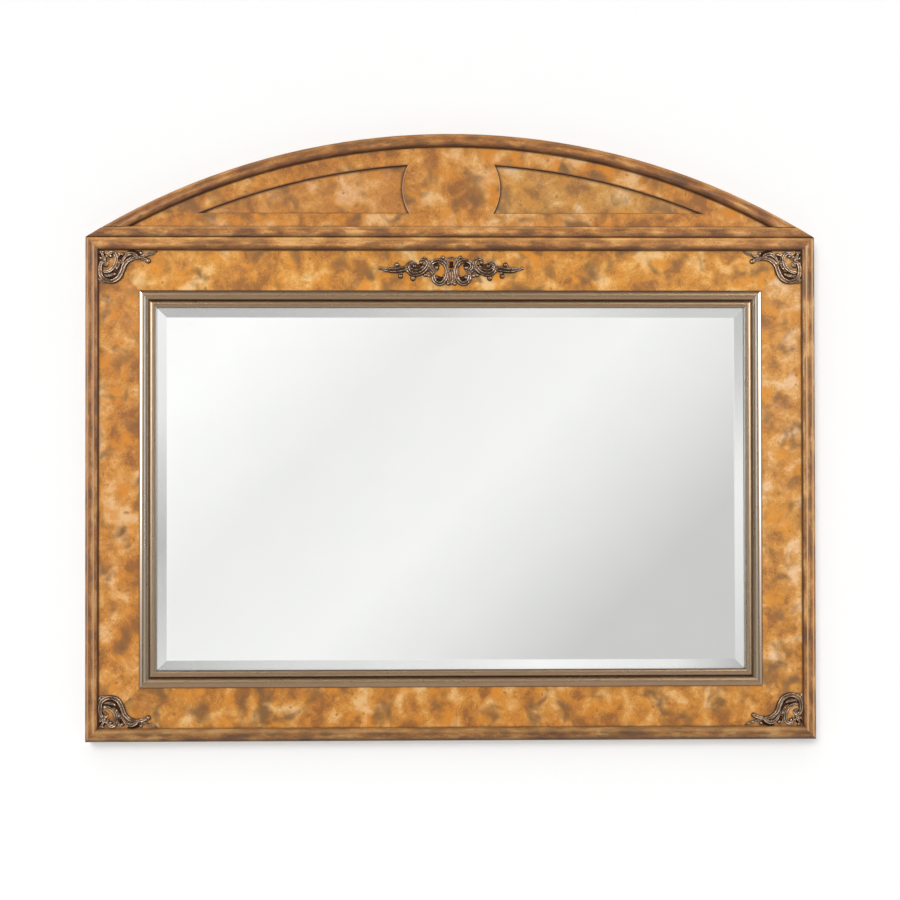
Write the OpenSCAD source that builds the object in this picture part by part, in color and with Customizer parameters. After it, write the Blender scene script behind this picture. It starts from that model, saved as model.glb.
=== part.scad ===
// Arched wall mirror: a landscape mirror in a mitred, veneered frame with an arched pediment.
// X runs along the mirror, Z is up and the front faces -Y. The wall is the plane y = 0.
// The origin is the middle of the hanging line, where two wall hooks carry the rings.

/* [Frame] */
// Width of the rectangular frame, outside to outside
frame_w = 1100; // [1000:5:1400]
// Height of the rectangular frame, without the pediment
frame_h = 758; // [640:2:1000]
// Width of each rail and stile
rail_w = 100; // [92:1:130]
// Thickness of the rails, the stiles and the pediment board
rail_t = 21; // [19:0.5:28]
// Thickness of the burl veneer
veneer_t = 1; // [0.6:0.1:1.6]
// Drop from the frame's top edge to the hanging line
hang_drop = 170; // [150:5:260]

/* [Edge bead] */
// Width of the bead round the frame and along the arch
bead_w = 19; // [17:0.5:22]
// Height of the bead's nose above the timber it is glued to
bead_h = 9.5; // [8:0.25:12]
// Radius of the bead's outer nose
nose_r = 3.4; // [2.5:0.1:4]
// Radius of the bead's inner roll
roll_r = 6.5; // [5.5:0.25:7]
// How much lower the roll stands than the nose
roll_drop = 0.5; // [0.2:0.1:1]
// Depth of the shallow hollow between nose and roll
hollow = 0.6; // [0.3:0.1:1]

/* [Silver fillet] */
// Face width of the fillet
fillet_w = 25.5; // [23:0.5:30]
// How far the fillet's lip reaches in past the rail
fillet_lip = 5.8; // [5:0.1:8]
// Height of the fillet's main roll above the rebate floor
fillet_h = 13; // [12:0.1:15]
// Radius of the main roll's curve
torus_r = 10.5; // [9.5:0.1:13]
// Distance of its crest from the fillet's outer edge
torus_in = 6.9; // [6:0.1:7.5]
// Width of the groove between the two rolls
quirk_w = 1.2; // [0.8:0.1:2]
// Depth of that groove below the inner roll's crest
quirk_d = 3; // [2:0.1:4]
// Width of the inner roll, which ends at the glass
ovolo_w = 11.5; // [10:0.1:12.5]
// Radius of the inner roll's curve
ovolo_r = 9; // [8:0.1:11]
// Distance of its crest from its outer edge
ovolo_in = 6.4; // [5.5:0.1:7]
// Height of the inner roll above the rebate floor
ovolo_h = 9.6; // [9:0.1:11]
// Depth of the rebate that the fillet sits in
rebate_d = 8; // [6:0.5:10]

/* [Pediment] */
// Rise of the arch above the rectangular frame
arch_rise = 156.5; // [140:0.5:200]
// Height of the straight moulding at the pediment's foot
foot_w = 16; // [13:0.5:20]
// Height of that moulding above the timber
foot_h = 8; // [7:0.25:10]
// Radius of its upper and lower edges
foot_r = 3; // [2:0.1:3.4]
// Height of the wing panels' straight edge above the pediment's foot
wing_sill = 36.5; // [30:0.5:45]
// Distance from the arch's outer edge to the wing panels' curved edge
wing_rim = 44; // [38:0.5:52]
// Radius of the round field between the wing panels
roundel_r = 74; // [60:1:90]
// Height of that field's centre above the pediment's foot
roundel_z = 75; // [65:1:85]
// Depth of the wing panels below the veneer
wing_sink = 4.5; // [2:0.25:5]

/* [Glass and backing] */
// Thickness of the mirror glass
glass_t = 5; // [4:0.5:6]
// Width of the bevel ground on its front edge
bevel_w = 19; // [12:1:30]
// Thickness that the bevel takes off at the edge
bevel_d = 2; // [1:0.25:2.5]
// Gap between the glass's edge and the rails, filled by the pads
glass_gap = 1; // [0.8:0.1:2]
// Thickness of the silvering with its protective paint
silver_t = 0.2; // [0.1:0.05:0.4]
// Length of each glazing pad
pad_l = 40; // [20:5:60]
// Distance of the glazing pads from the middle of the long sides
pad_x = 220; // [150:10:300]
// Thickness of the backing board
board_t = 6; // [4:0.5:7]

/* [Turn buttons] */
// Length of a turn button from its screw to its tip
button_l = 22; // [18:1:28]
// Width of a turn button
button_w = 12; // [10:0.5:14]
// Thickness of a turn button
button_t = 1.8; // [1.2:0.1:2]
// Distance of the button screws from the rail's inner edge
button_in = 9; // [8:0.5:14]
// Distance of the outer turn buttons from the middle of the long sides
button_x = 300; // [240:10:360]

/* [Hangers] */
// Wire diameter of the D-ring
wire_d = 3; // [2.5:0.1:3.2]
// Distance from the middle of the ring to the centre of its wire
ring_r = 11; // [10:0.5:14]
// Bend radius at the ring's two lower corners
ring_bend = 3; // [2.5:0.25:4]
// Straight stretch at each side of the ring
ring_leg = 2; // [1:0.5:5]
// Width of the strap
strap_w = 14; // [11:0.5:15]
// Length of the strap below the ring's bar
strap_l = 50; // [49:1:60]
// Thickness of the strap, folded double
strap_t = 2; // [1.6:0.1:2.2]
// Wall of the strap's rolled eye
eye_wall = 1.2; // [0.9:0.05:1.25]

/* [Joinery and hardware] */
// Thickness of the wall bumpers, which is the gap behind the frame
bumper_t = 6; // [6:0.5:9]
// Radius of the wall bumpers
bumper_r = 9; // [7:0.5:12]
// Distance of the bumpers from the frame's outer edges
bumper_in = 62; // [58:1:70]
// Length of a mitre biscuit
biscuit_l = 53; // [44:1:60]
// Width of a mitre biscuit
biscuit_w = 19; // [15:1:26]
// Thickness of a mitre biscuit
biscuit_t = 4; // [3:0.5:5]
// Radius of the dowels between pediment and top rail
dowel_r = 4; // [3:0.5:5]
// Length of those dowels
dowel_l = 40; // [30:2:50]
// Arm length of the corner braces
brace_l = 70; // [60:2:90]
// Width of the corner braces and the mending plates
plate_w = 16; // [14:1:18]
// Thickness of the corner braces and the mending plates
plate_t = 2; // [1.5:0.1:2.5]
// Distance of the corner braces from the frame's outer edges
brace_in = 20; // [14:1:24]
// Length of the mending plates
mend_l = 100; // [80:5:120]
// Distance of the mending plates from the middle
mend_x = 200; // [150:10:240]
// Shank radius of the wood screws
screw_r = 2; // [1.75:0.05:2.25]
// Length of the plates' and hangers' screws under the head
screw_l = 16; // [14:0.5:17]
// Length of the turn buttons' screws under the head
short_screw_l = 12; // [10:0.5:13]
// Head radius of the wood screws
head_r = 4; // [3.5:0.1:4.5]
// Head height of the wood screws
head_h = 1.6; // [1.2:0.1:1.8]

/* [Ornaments] */
// Greatest height of the castings above the veneer
cast_h = 5; // [3.5:0.25:7]
// Shank radius of the ornament pins
pin_r = 0.7; // [0.5:0.05:0.9]
// Length of the ornament pins below the castings' pin seats
pin_l = 14; // [10:1:16]

/* [Hidden] */
$fn = 64;

// Heights of the layers above the wall
rail_back = bumper_t;
rail_front = rail_back + rail_t;
face = rail_front + veneer_t;
rebate_floor = rail_front - rebate_d;
crest = rail_front + bead_h;

// Places measured in from the frame's outer edge
sight = rail_w + fillet_lip;
fillet_u = sight - fillet_w;
glass_u = rail_w + glass_gap;

// The frame and its four sides: 0 bottom, 1 right, 2 top, 3 left
BOTTOM = 0;
RIGHT = 1;
TOP = 2;
LEFT = 3;
frame_top = hang_drop;
frame_mid = frame_top - frame_h / 2;
function side_l(side) = side % 2 == 0 ? frame_w : frame_h;
function side_out(side) = side % 2 == 0 ? frame_h / 2 : frame_w / 2;

// The arch passes through the frame's two top corners
arch_r = (pow(frame_w / 2, 2) + pow(arch_rise, 2)) / (2 * arch_rise);
arch_z = frame_top + arch_rise - arch_r;
foot_top = frame_top + foot_w;

// The glass's bevel passes just behind the fillet's inner edge. Its depth is rounded down to a
// hundredth, so that the sheets behind it meet exactly
seat = 0.1;
hundredth = 0.01;
bevel_slope = bevel_d / bevel_w;
under_sight = rebate_floor - seat - bevel_slope * (sight - glass_u);
glass_edge_d = hundredth * floor(under_sight / hundredth);
glass_front = glass_edge_d + bevel_d;
glass_back = glass_front - glass_t;
silver_back = glass_back - silver_t;
board_front = rail_back + board_t;
glass_w = frame_w - 2 * glass_u;
glass_h = frame_h - 2 * glass_u;

// Clearances: fixed pieces, turning pieces, and pieces that turn past others
fit = 0.05;
run = 0.08;
clear = 0.2;
over = 1;

// The ring's bar turns in the strap's eye, and the ring leans back against the frame
wire_r = wire_d / 2;
eye_r = wire_r + run + eye_wall;
eye_d = rail_back - eye_r - clear;
ring_top = ring_bend + ring_leg + ring_r;
ring_gap = 0.3;
lean = asin((rail_back - eye_d - wire_r - ring_gap) / ring_top);
eye_z = -(ring_top - wire_r) * cos(lean);
hanger_x = frame_w / 2 - rail_w / 2;
strap_holes = [24, 41];

// Screw places: along the brace's arms, along the mending plate, and on the buttons
brace_holes = [26, 56];
mend_holes = [14, 38];
brace_mid = brace_in + plate_w / 2;
button_u = rail_w - button_in;
button_d = rail_back - clear;
button_grip = button_t + clear + seat;
dowel_x = [-360, -110, 110, 360];

// A veneered inlay as thick as the face veneer lies in each pediment pocket
pocket_floor = face - wing_sink - veneer_t;

// Carries children from (along the side, in from the edge, out from the wall) to a side
module on_side(side) {
    translate([0, 0, frame_mid]) rotate([0, -90 * side, 0])
        translate([0, 0, -side_out(side)]) rotate([90, 0, 0]) children();
}

// Carries children drawn in the (x, z) plane, standing out from the wall, to their place
module on_wall() {
    rotate([90, 0, 0]) children();
}

// A length of moulding along one side, with both ends cut at 45 degrees
module mitred(side) {
    half = side_l(side) / 2;
    deep = 2 * rail_w;
    on_side(side) intersection() {
        rotate([90, 0, 90]) linear_extrude(2 * half, center = true) children();
        linear_extrude(2 * crest)
            polygon([[-half, 0], [half, 0], [half - deep, deep], [deep - half, deep]]);
    }
}

// Children together with their mirror image
module both_ways() {
    children();
    mirror([1, 0, 0]) children();
}

// Children drawn at the lower left corner, repeated at all four
module four_corners() {
    for (sx = [0, 1], sz = [0, 1])
        translate([0, 0, frame_mid]) mirror([sx, 0, 0]) mirror([0, 0, sz])
            translate([-frame_w / 2, 0, -frame_h / 2]) children();
}

// A wood screw driven in from behind: domed head with a cross slot, plain shank, short point
module wood_screw(under_head) {
    slot_l = 1.1 * head_r;
    slot_w = head_r / 5;
    point_r = screw_r / 5;
    rotate([-90, 0, 0]) {
        difference() {
            rotate_extrude() intersection() {
                square([head_r, head_h]);
                translate([0, head_h - 2 * head_r]) circle(2 * head_r);
            }
            for (a = [0, 90])
                rotate([0, 0, a]) translate([-slot_l / 2, -slot_w / 2, head_h / 2])
                    cube([slot_l, slot_w, head_h]);
        }
        translate([0, 0, -under_head + screw_r]) cylinder(r = screw_r, h = under_head - screw_r);
        translate([0, 0, -under_head]) cylinder(r1 = point_r, r2 = screw_r, h = screw_r);
    }
}

// Screws at a list of (x, z) points, with their heads resting on a plate of this thickness
module screws_at(points, plate, long = screw_l) {
    for (p = points) translate([p[0], plate - rail_back, p[1]]) wood_screw(long);
}

// The holes for such screws in the timber
module pilots_at(points, plate, long = screw_l) {
    for (p = points)
        translate([p[0], over - rail_back, p[1]]) rotate([90, 0, 0])
            cylinder(r = screw_r + fit, h = over + long - plate + fit);
}

// Screw points in the part's own (x, z)
function button_points(side) =
    side == TOP ? [for (x = [-button_x, 0, button_x]) [x, frame_top - button_u]] :
    side == BOTTOM ? [for (x = [-button_x, 0, button_x]) [x, frame_top - frame_h + button_u]] :
    side == LEFT ? [[button_u - frame_w / 2, frame_mid]] :
    [[frame_w / 2 - button_u, frame_mid]];
function strap_points(sx) = [for (h = strap_holes) [sx * hanger_x, eye_z - h]];
function mend_points(sx, up) = [for (h = mend_holes) [sx * mend_x, frame_top + up * h]];
// Brace screws on the arm along a rail, and on the arm along a stile
function rail_brace_points(sz) = [for (sx = [-1, 1], h = brace_holes)
    [sx * (frame_w / 2 - brace_in - h), frame_mid + sz * (frame_h / 2 - brace_mid)]];
function stile_brace_points(sx) = [for (sz = [-1, 1], h = brace_holes)
    [sx * (frame_w / 2 - brace_mid), frame_mid + sz * (frame_h / 2 - brace_in - h)]];

// Profiles, drawn as (in from the edge, out from the wall)
module rail_profile() {
    difference() {
        translate([0, rail_back]) square([rail_w, rail_t]);
        translate([fillet_u, rebate_floor]) square([rail_w, rail_t]);
    }
}

module veneer_profile() {
    translate([bead_w, rail_front]) square([fillet_u - bead_w, veneer_t]);
}

// Keeps what lies above a seat
module above(seat_d) {
    intersection() {
        children();
        translate([-over, seat_d]) square([frame_w, 2 * crest]);
    }
}

// The nose is round; with nose_step, in degrees, it is drawn in fine flats
module bead_profile(nose_step = 0) {
    roll_u = bead_w - roll_r;
    roll_d = crest - roll_drop - roll_r;
    fill_drop = 0.15;
    fill_d = roll_d + roll_r - fill_drop;
    scoop_r = 10;
    translate([nose_r, crest - nose_r]) {
        if (nose_step > 0)
            polygon([for (a = [0 : nose_step : 359]) nose_r * [cos(a), sin(a)]]);
        else
            circle(nose_r);
    }
    above(rail_front) translate([roll_u, roll_d]) circle(roll_r);
    translate([0, rail_front]) square([nose_r, bead_h - nose_r]);
    translate([roll_u, rail_front]) square([roll_r, roll_d - rail_front]);
    difference() {
        translate([nose_r, rail_front]) square([roll_u - nose_r, fill_d - rail_front]);
        translate([(nose_r + roll_u) / 2, fill_d - hollow + scoop_r]) circle(scoop_r);
    }
}

// A stretch of moulding from one place to another, rounded over its crest
module roll(from_u, to_u, crest_u, crest_d, radius) {
    intersection() {
        translate([crest_u, crest_d - radius]) circle(radius);
        translate([from_u, rebate_floor]) square([to_u - from_u, crest]);
    }
}

module fillet_profile() {
    ovolo_u = sight - ovolo_w;
    quirk_u = ovolo_u - quirk_w;
    torus_crest = rebate_floor + fillet_h;
    ovolo_crest = rebate_floor + ovolo_h;
    roll(fillet_u, quirk_u, fillet_u + torus_in, torus_crest, torus_r);
    roll(ovolo_u, sight, ovolo_u + ovolo_in, ovolo_crest, ovolo_r);
    translate([quirk_u, rebate_floor]) square([quirk_w, ovolo_h - quirk_d]);
}

module foot_profile() {
    translate([foot_r, rail_front + foot_h - foot_r]) circle(foot_r);
    translate([foot_w - foot_r, rail_front + foot_h - foot_r]) circle(foot_r);
    translate([0, rail_front]) square([foot_w, foot_h - foot_r]);
    translate([foot_r, rail_front]) square([foot_w - 2 * foot_r, foot_h - hollow]);
}

// The mitre biscuit's lens outline, across the mitre line from the outer corner
module biscuit_lens(grow) {
    lens_r = (pow(biscuit_l / 2, 2) + pow(biscuit_w / 2, 2)) / biscuit_w;
    off = lens_r - biscuit_w / 2;
    translate([rail_w / 2, rail_w / 2]) rotate(45) intersection() {
        translate([0, off]) circle(lens_r + grow);
        translate([0, -off]) circle(lens_r + grow);
    }
}

module biscuits(grow) {
    depth = biscuit_t + 2 * grow;
    mid = rail_back + (rebate_floor - rail_back) / 2;
    four_corners() on_wall() translate([0, 0, mid - depth / 2]) linear_extrude(depth)
        biscuit_lens(grow);
}

module dowels(grow) {
    for (x = dowel_x)
        translate([x, -(rail_back + rail_front) / 2, frame_top - dowel_l / 2 - grow])
            cylinder(r = dowel_r + grow, h = dowel_l + 2 * grow);
}

// Timber core of one side, with the holes for what is let into it and screwed to it
module timber(side) {
    color("peru") difference() {
        mitred(side) rail_profile();
        biscuits(fit);
        pilots_at(button_points(side), button_grip, short_screw_l);
        if (side == TOP || side == BOTTOM) {
            pilots_at(rail_brace_points(side == TOP ? 1 : -1), plate_t);
        } else {
            pilots_at(stile_brace_points(side == RIGHT ? 1 : -1), plate_t);
            pilots_at(strap_points(side == RIGHT ? 1 : -1), strap_t);
        }
        if (side == TOP) {
            dowels(fit);
            for (sx = [-1, 1]) pilots_at(mend_points(sx, -1), plate_t);
        }
        ornament_pin_holes();
    }
}

module mitre_biscuits() {
    color("burlywood") biscuits(0);
}

module veneer(side) {
    color("sandybrown") difference() {
        mitred(side) veneer_profile();
        ornament_pin_holes();
    }
}

module bead(side) {
    color("sienna") mitred(side) bead_profile();
}

module fillet(side) {
    color("silver") mitred(side) fillet_profile();
}

// Pediment: everything above the frame's top edge and inside a radius from the arch's centre
module segment(radius, from_z) {
    intersection() {
        translate([0, arch_z]) circle(radius, $fn = 256);
        translate([-frame_w, from_z]) square([2 * frame_w, frame_w]);
    }
}

// One wing: under the inner arc, above the sill and outside the roundel
module wing_outline(sx) {
    intersection() {
        difference() {
            segment(arch_r - wing_rim, frame_top + wing_sill);
            translate([0, frame_top + roundel_z]) circle(roundel_r);
        }
        translate([sx > 0 ? 0 : -frame_w, 0]) square([frame_w, frame_w]);
    }
}

module pediment_board() {
    color("peru") difference() {
        on_wall() translate([0, 0, rail_back]) linear_extrude(rail_t) segment(arch_r, frame_top);
        on_wall() translate([0, 0, pocket_floor]) linear_extrude(rail_t)
            for (sx = [-1, 1]) wing_outline(sx);
        dowels(fit);
        for (sx = [-1, 1]) pilots_at(mend_points(sx, 1), plate_t);
    }
}

module pediment_veneer() {
    color("sandybrown") on_wall() translate([0, 0, rail_front]) linear_extrude(veneer_t)
        difference() {
            segment(arch_r - bead_w, foot_top);
            for (sx = [-1, 1]) wing_outline(sx);
        }
}

module wing_panel(sx) {
    color("sandybrown") on_wall() translate([0, 0, pocket_floor]) linear_extrude(veneer_t)
        wing_outline(sx);
}

module arch_moulding() {
    half_angle = asin(frame_w / 2 / arch_r) + 1;
    color("sienna") intersection() {
        translate([0, 0, arch_z]) on_wall() rotate([0, 0, 90 - half_angle])
            rotate_extrude(angle = 2 * half_angle, $fn = 180)
                translate([arch_r, 0]) mirror([1, 0]) bead_profile(nose_step = 10, $fn = 48);
        translate([-frame_w, -2 * crest, foot_top]) cube([2 * frame_w, 2 * crest, frame_w]);
    }
}

module pediment_foot_moulding() {
    color("sienna") intersection() {
        translate([0, 0, frame_top]) rotate([90, 0, 90])
            linear_extrude(frame_w, center = true) rotate(90) foot_profile();
        on_wall() linear_extrude(2 * crest) segment(arch_r, frame_top - over);
    }
}

module pediment_dowels() {
    color("burlywood") dowels(0);
}

// Glass: a plate whose front edge is ground to a shallow slope all round
module mirror_glass() {
    w = glass_w / 2;
    h = glass_h / 2;
    half = [w, h];
    color("lightcyan") translate([0, 0, frame_mid]) on_wall() difference() {
        translate([-w, -h, glass_back]) cube([2 * w, 2 * h, glass_t]);
        for (side = [0 : 3])
            rotate([0, 0, 90 * side]) translate([-2 * w, half[1 - side % 2] - bevel_w, glass_front])
                rotate([-atan(bevel_slope), 0, 0]) cube([4 * w, 2 * bevel_w, glass_t]);
    }
}

// A flat sheet of the glass's outline between two heights above the wall
module sheet(from_d, to_d) {
    translate([-glass_w / 2, -to_d, frame_mid - glass_h / 2])
        cube([glass_w, to_d - from_d, glass_h]);
}

module mirror_silvering() {
    color("lightgray") sheet(silver_back, glass_back);
}

module packing_sheet() {
    color("wheat") sheet(board_front, silver_back);
}

module backing_board() {
    color("saddlebrown") sheet(rail_back, board_front);
}

module glazing_pads() {
    color("dimgray") for (side = [0 : 3])
        on_side(side) for (x = side % 2 == 0 ? [-pad_x, pad_x] : [0])
            translate([x - pad_l / 2, rail_w, glass_back])
                cube([pad_l, glass_gap, glass_edge_d - glass_back]);
}

// Turn button: a flat bar with round ends, turning on its screw
module turn_button(side, x) {
    color("goldenrod") on_side(side) translate([x, button_u, button_d - button_t])
        difference() {
            linear_extrude(button_t) {
                circle(button_w / 2);
                translate([-button_w / 2, 0]) square([button_w, button_l - button_w / 2]);
                translate([0, button_l - button_w / 2]) circle(button_w / 2);
            }
            translate([0, 0, -over]) cylinder(r = screw_r + run, h = button_t + 2 * over);
        }
}

module turn_button_screws() {
    color("gainsboro") for (side = [0 : 3])
        screws_at(button_points(side), button_grip, short_screw_l);
}

// Hanger strap: folded double, with a rolled eye at its top for the ring's bar
module hanger_strap(sx) {
    half = strap_w / 2;
    color("gainsboro") translate([sx * hanger_x, 0, eye_z]) difference() {
        union() {
            translate([-half, -rail_back, -strap_l + half]) cube([strap_w, strap_t, strap_l - half]);
            translate([0, -rail_back, -strap_l + half]) rotate([-90, 0, 0])
                cylinder(r = half, h = strap_t);
            translate([-half, -rail_back, -eye_r]) cube([strap_w, rail_back - eye_d, eye_r]);
            translate([-half, -eye_d, 0]) rotate([0, 90, 0]) cylinder(r = eye_r, h = strap_w);
        }
        translate([-half - over, -eye_d, 0]) rotate([0, 90, 0])
            cylinder(r = wire_r + run, h = strap_w + 2 * over);
        for (h = strap_holes)
            translate([0, over - rail_back + strap_t, -h]) rotate([90, 0, 0])
                cylinder(r = screw_r + fit, h = strap_t + 2 * over);
    }
}

// D-ring: a bar, two bends, two legs and a half circle of one wire
module hanger_ring(sx) {
    bar = ring_r - ring_bend;
    color("gainsboro") translate([sx * hanger_x, -eye_d, eye_z]) rotate([lean, 0, 0]) {
        translate([-bar, 0, 0]) rotate([0, 90, 0]) cylinder(r = wire_r, h = 2 * bar);
        both_ways() {
            translate([bar, 0, ring_bend]) rotate([90, 0, 0]) rotate([0, 0, -90])
                rotate_extrude(angle = 90) translate([ring_bend, 0]) circle(wire_r);
            translate([ring_r, 0, ring_bend]) cylinder(r = wire_r, h = ring_leg);
        }
        translate([0, 0, ring_bend + ring_leg]) rotate([90, 0, 0])
            rotate_extrude(angle = 180) translate([ring_r, 0]) circle(wire_r);
    }
}

module hanger_screws() {
    color("silver") for (sx = [-1, 1]) screws_at(strap_points(sx), strap_t);
}

// Corner brace: a flat L on the back of each mitre
module corner_braces() {
    color("silver") difference() {
        four_corners() translate([brace_in, -rail_back, brace_in]) {
            cube([brace_l, plate_t, plate_w]);
            cube([plate_w, plate_t, brace_l]);
        }
        for (s = [-1, 1]) {
            plate_holes(rail_brace_points(s));
            plate_holes(stile_brace_points(s));
        }
    }
}

module plate_holes(points) {
    for (p = points)
        translate([p[0], over - rail_back + plate_t, p[1]]) rotate([90, 0, 0])
            cylinder(r = screw_r + fit, h = plate_t + 2 * over);
}

module corner_brace_screws() {
    color("silver") for (s = [-1, 1]) {
        screws_at(rail_brace_points(s), plate_t);
        screws_at(stile_brace_points(s), plate_t);
    }
}

// Mending plate: a straight plate with round ends across the pediment's joint
module mending_plate(sx) {
    straight = mend_l - plate_w;
    color("silver") difference() {
        translate([sx * mend_x, plate_t - rail_back, frame_top]) rotate([90, 0, 0])
            linear_extrude(plate_t) {
                square([plate_w, straight], center = true);
                for (s = [-1, 1]) translate([0, s * straight / 2]) circle(plate_w / 2);
            }
        for (up = [-1, 1]) plate_holes(mend_points(sx, up));
    }
}

module mending_plate_screws() {
    color("silver") for (sx = [-1, 1], up = [-1, 1]) screws_at(mend_points(sx, up), plate_t);
}

module bumper(sx, sz) {
    soft = 1;
    color("dimgray")
        translate([sx * (frame_w / 2 - bumper_in), 0, frame_mid + sz * (frame_h / 2 - bumper_in)])
            rotate([90, 0, 0]) rotate_extrude()
                polygon([[0, 0], [bumper_r - soft, 0], [bumper_r, soft], [bumper_r, bumper_t],
                         [0, bumper_t]]);
}

// Ornaments: half-round strands along smooth curves, and domed bosses, in one casting.
// Each strand lists [x, y, half width] at its turning points, in millimetres.
// Corner casting: x along the rail, y along the stile, from the bead's inner corner
corner_strands = [
    [[12, 25, 1.3], [13.3, 21, 2], [9.2, 17.8, 2.5], [4.2, 21, 2.9], [2.6, 30, 3.4],
     [4.5, 40, 3.6], [12, 46, 3.6], [21.5, 47, 3.6], [30, 42.5, 3.8], [35.5, 33, 3.8],
     [39, 23, 3.6], [45.5, 16, 3.1], [54, 12.5, 2.9], [63, 12.5, 2.7], [70, 14.5, 2.7], [75, 17, 2.2]],
    [[5, 30.5, 1.3], [9, 33, 2], [15.5, 32.2, 2.5], [22, 27.6, 2.9], [26, 20.5, 3.1],
     [27, 12.5, 3.1], [24.5, 6, 2.9], [19.5, 4.2, 2.7], [14.8, 6.4, 2.2], [13.4, 11, 1.8], [16.5, 14, 1.3]],
    [[34.5, 22, 1.6], [38, 13.5, 2.2], [44, 7.2, 3.1], [50, 6, 3.4], [55.5, 8, 2.9],
     [60.5, 11.6, 2.2], [65.5, 10.4, 2], [67, 6, 1.8]],
    [[70, 9.4, 1.1], [79, 7.2, 2], [86, 8, 1.9], [93, 3.6, 0.7]],
    [[5.5, 38, 1.3], [13, 39.3, 1.8], [20, 38, 2], [24, 36.5, 1.8]],
    [[29, 13, 1.3], [30.5, 7.5, 2], [34, 5.6, 2.2]],
    [[1.2, 16.2, 1.1], [6, 12.6, 1.8], [11.4, 16.6, 1.6]],
    [[3.6, 2.4, 1.6], [6.8, 8.8, 2], [10.6, 13.6, 1.6]],
    [[27, 30, 1.6], [30.5, 22.5, 1.8], [32.4, 15, 1.6]],
    [[58, 11, 1.8], [66, 10, 1.6], [74, 9.4, 1.3]],
    [[3, 46.5, 1.6], [8.6, 46.2, 1.8], [12.5, 44, 1.6]]
];
// Bosses: [x, y, radius]
corner_bosses = [
    [10, 23.2, 3.2], [76.8, 17.6, 3.7], [18.4, 12.4, 2.5], [66.8, 4.6, 2.6], [24.8, 36.4, 2.9],
    [36, 6.6, 3], [6.4, 2.8, 2.2], [2.9, 47, 2.2], [8.6, 47.4, 2.2], [27.6, 27.6, 2.5], [31, 19.6, 2.2]
];
corner_pins = [[10, 23.2], [50, 6.2]];

// Centre casting: left half, from its middle
centre_strands = [
    [[-110.7, 2.6, 1.3], [-95.9, -1, 3.1], [-86.2, 3, 3.8], [-76.5, 3, 3.6], [-68.3, 3.4, 3.4], [-64.3, 6, 2.7]],
    [[-69.4, 3, 2.2], [-75.5, -2.6, 2], [-77.5, -7, 2]],
    [[-84.2, 3, 2.5], [-82.2, 8, 2.5]],
    [[-52.6, 9.4, 1.3], [-55.6, 12.2, 2], [-61.2, 12.2, 2.7], [-65.9, 7.6, 3.1], [-66.1, 1.6, 3.4],
     [-61.7, -3.8, 3.6], [-54.6, -5.8, 3.6], [-45.9, -3.6, 3.6], [-38.8, 2, 3.4], [-35.1, 9.4, 3.1],
     [-37.1, 15.6, 2.9], [-42.4, 18, 2.5], [-46.9, 15.6, 1.8], [-46.5, 12, 1.3]],
    [[-58.3, -4.4, 2.2], [-58.1, -10, 2.5]],
    [[-42.8, 0, 1.8], [-36.3, 2.4, 2.2], [-30.2, -1.2, 2.5], [-27.3, -5.4, 2.2]],
    [[-41.3, -2.6, 1.8], [-39.2, -6, 2], [-33, -7.6, 1.8], [-28.2, -6, 1.8]],
    [[-20.9, 2.6, 1.6], [-25.7, -0.2, 2.5], [-30.6, 4.6, 2.9], [-29, 11, 3.1], [-21.9, 14.6, 3.4],
     [-14.1, 13, 3.4], [-8.4, 6.6, 3.1], [-6.5, -1.6, 2.9], [-8.4, -11.6, 3.1], [-13.3, -18.2, 3.4],
     [-19.6, -19.6, 3.4], [-25.9, -15.2, 3.1], [-27.9, -7.4, 2.7]],
    [[-27.9, -8, 1.8], [-24.5, -12.6, 2], [-21.8, -10.4, 1.8]],
    [[0, 19.4, 2], [-4.7, 15.8, 2.2], [-5.5, 8.6, 2.2], [-3.7, 1, 2.2], [-3.3, -8, 2.5], [-3.9, -18, 2.5]],
    [[-6.1, 12.4, 1.8], [-9.2, 16.6, 2.2], [-12.9, 19.8, 2.2]],
    [[-8.6, -12, 2], [-5.5, -15.4, 2.5], [-1, -17.6, 2.5]]
];
centre_bosses = [
    [-82.1, 8.7, 3.9], [-77.3, -8.2, 3.6], [-55.9, 6.6, 3.3], [-45.3, 12, 3], [-58.1, -11.6, 4],
    [-39.4, -6.8, 2.7], [-33.5, -8.2, 2.2], [-21, 4.4, 3.7], [-22, -10.4, 3.3], [-11.8, -8.6, 2],
    [-13.1, 20.4, 2.6], [-4.3, -19, 2.9]
];
centre_pins = [[-55.9, 6.6], [55.9, 6.6]];
// Rings between two turning points: a short strand is nearly straight
function strand_steps(p) = len(p) > 6 ? 2 : 1;

// A point on the smooth curve through b and c, with a and d beyond them
function smooth_point(a, b, c, d, t) =
    b + (c - a) * t / 2
    + (a * 2 - b * 5 + c * 4 - d) * t * t / 2
    + (b * 3 - a - c * 3 + d) * t * t * t / 2;
function smooth(p, steps) = let (last = len(p) - 1) concat(
    [for (i = [0 : last - 1], s = [0 : steps - 1])
        smooth_point(p[max(i - 1, 0)], p[i], p[i + 1], p[min(i + 2, last)], s / steps)],
    [p[last]]);

// The strand's section: flat on the veneer, round above
section = [[-1, 0], [-0.78, 0.66], [0, 1], [0.78, 0.66], [1, 0]];

// Heights that grow with the width, up to the castings' greatest height
strand_base = 0.6;
boss_base = 1;
function strand_tall(half) = min(cast_h, strand_base + 1.3 * half);
function boss_tall(radius) = min(cast_h, boss_base + radius);

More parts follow.
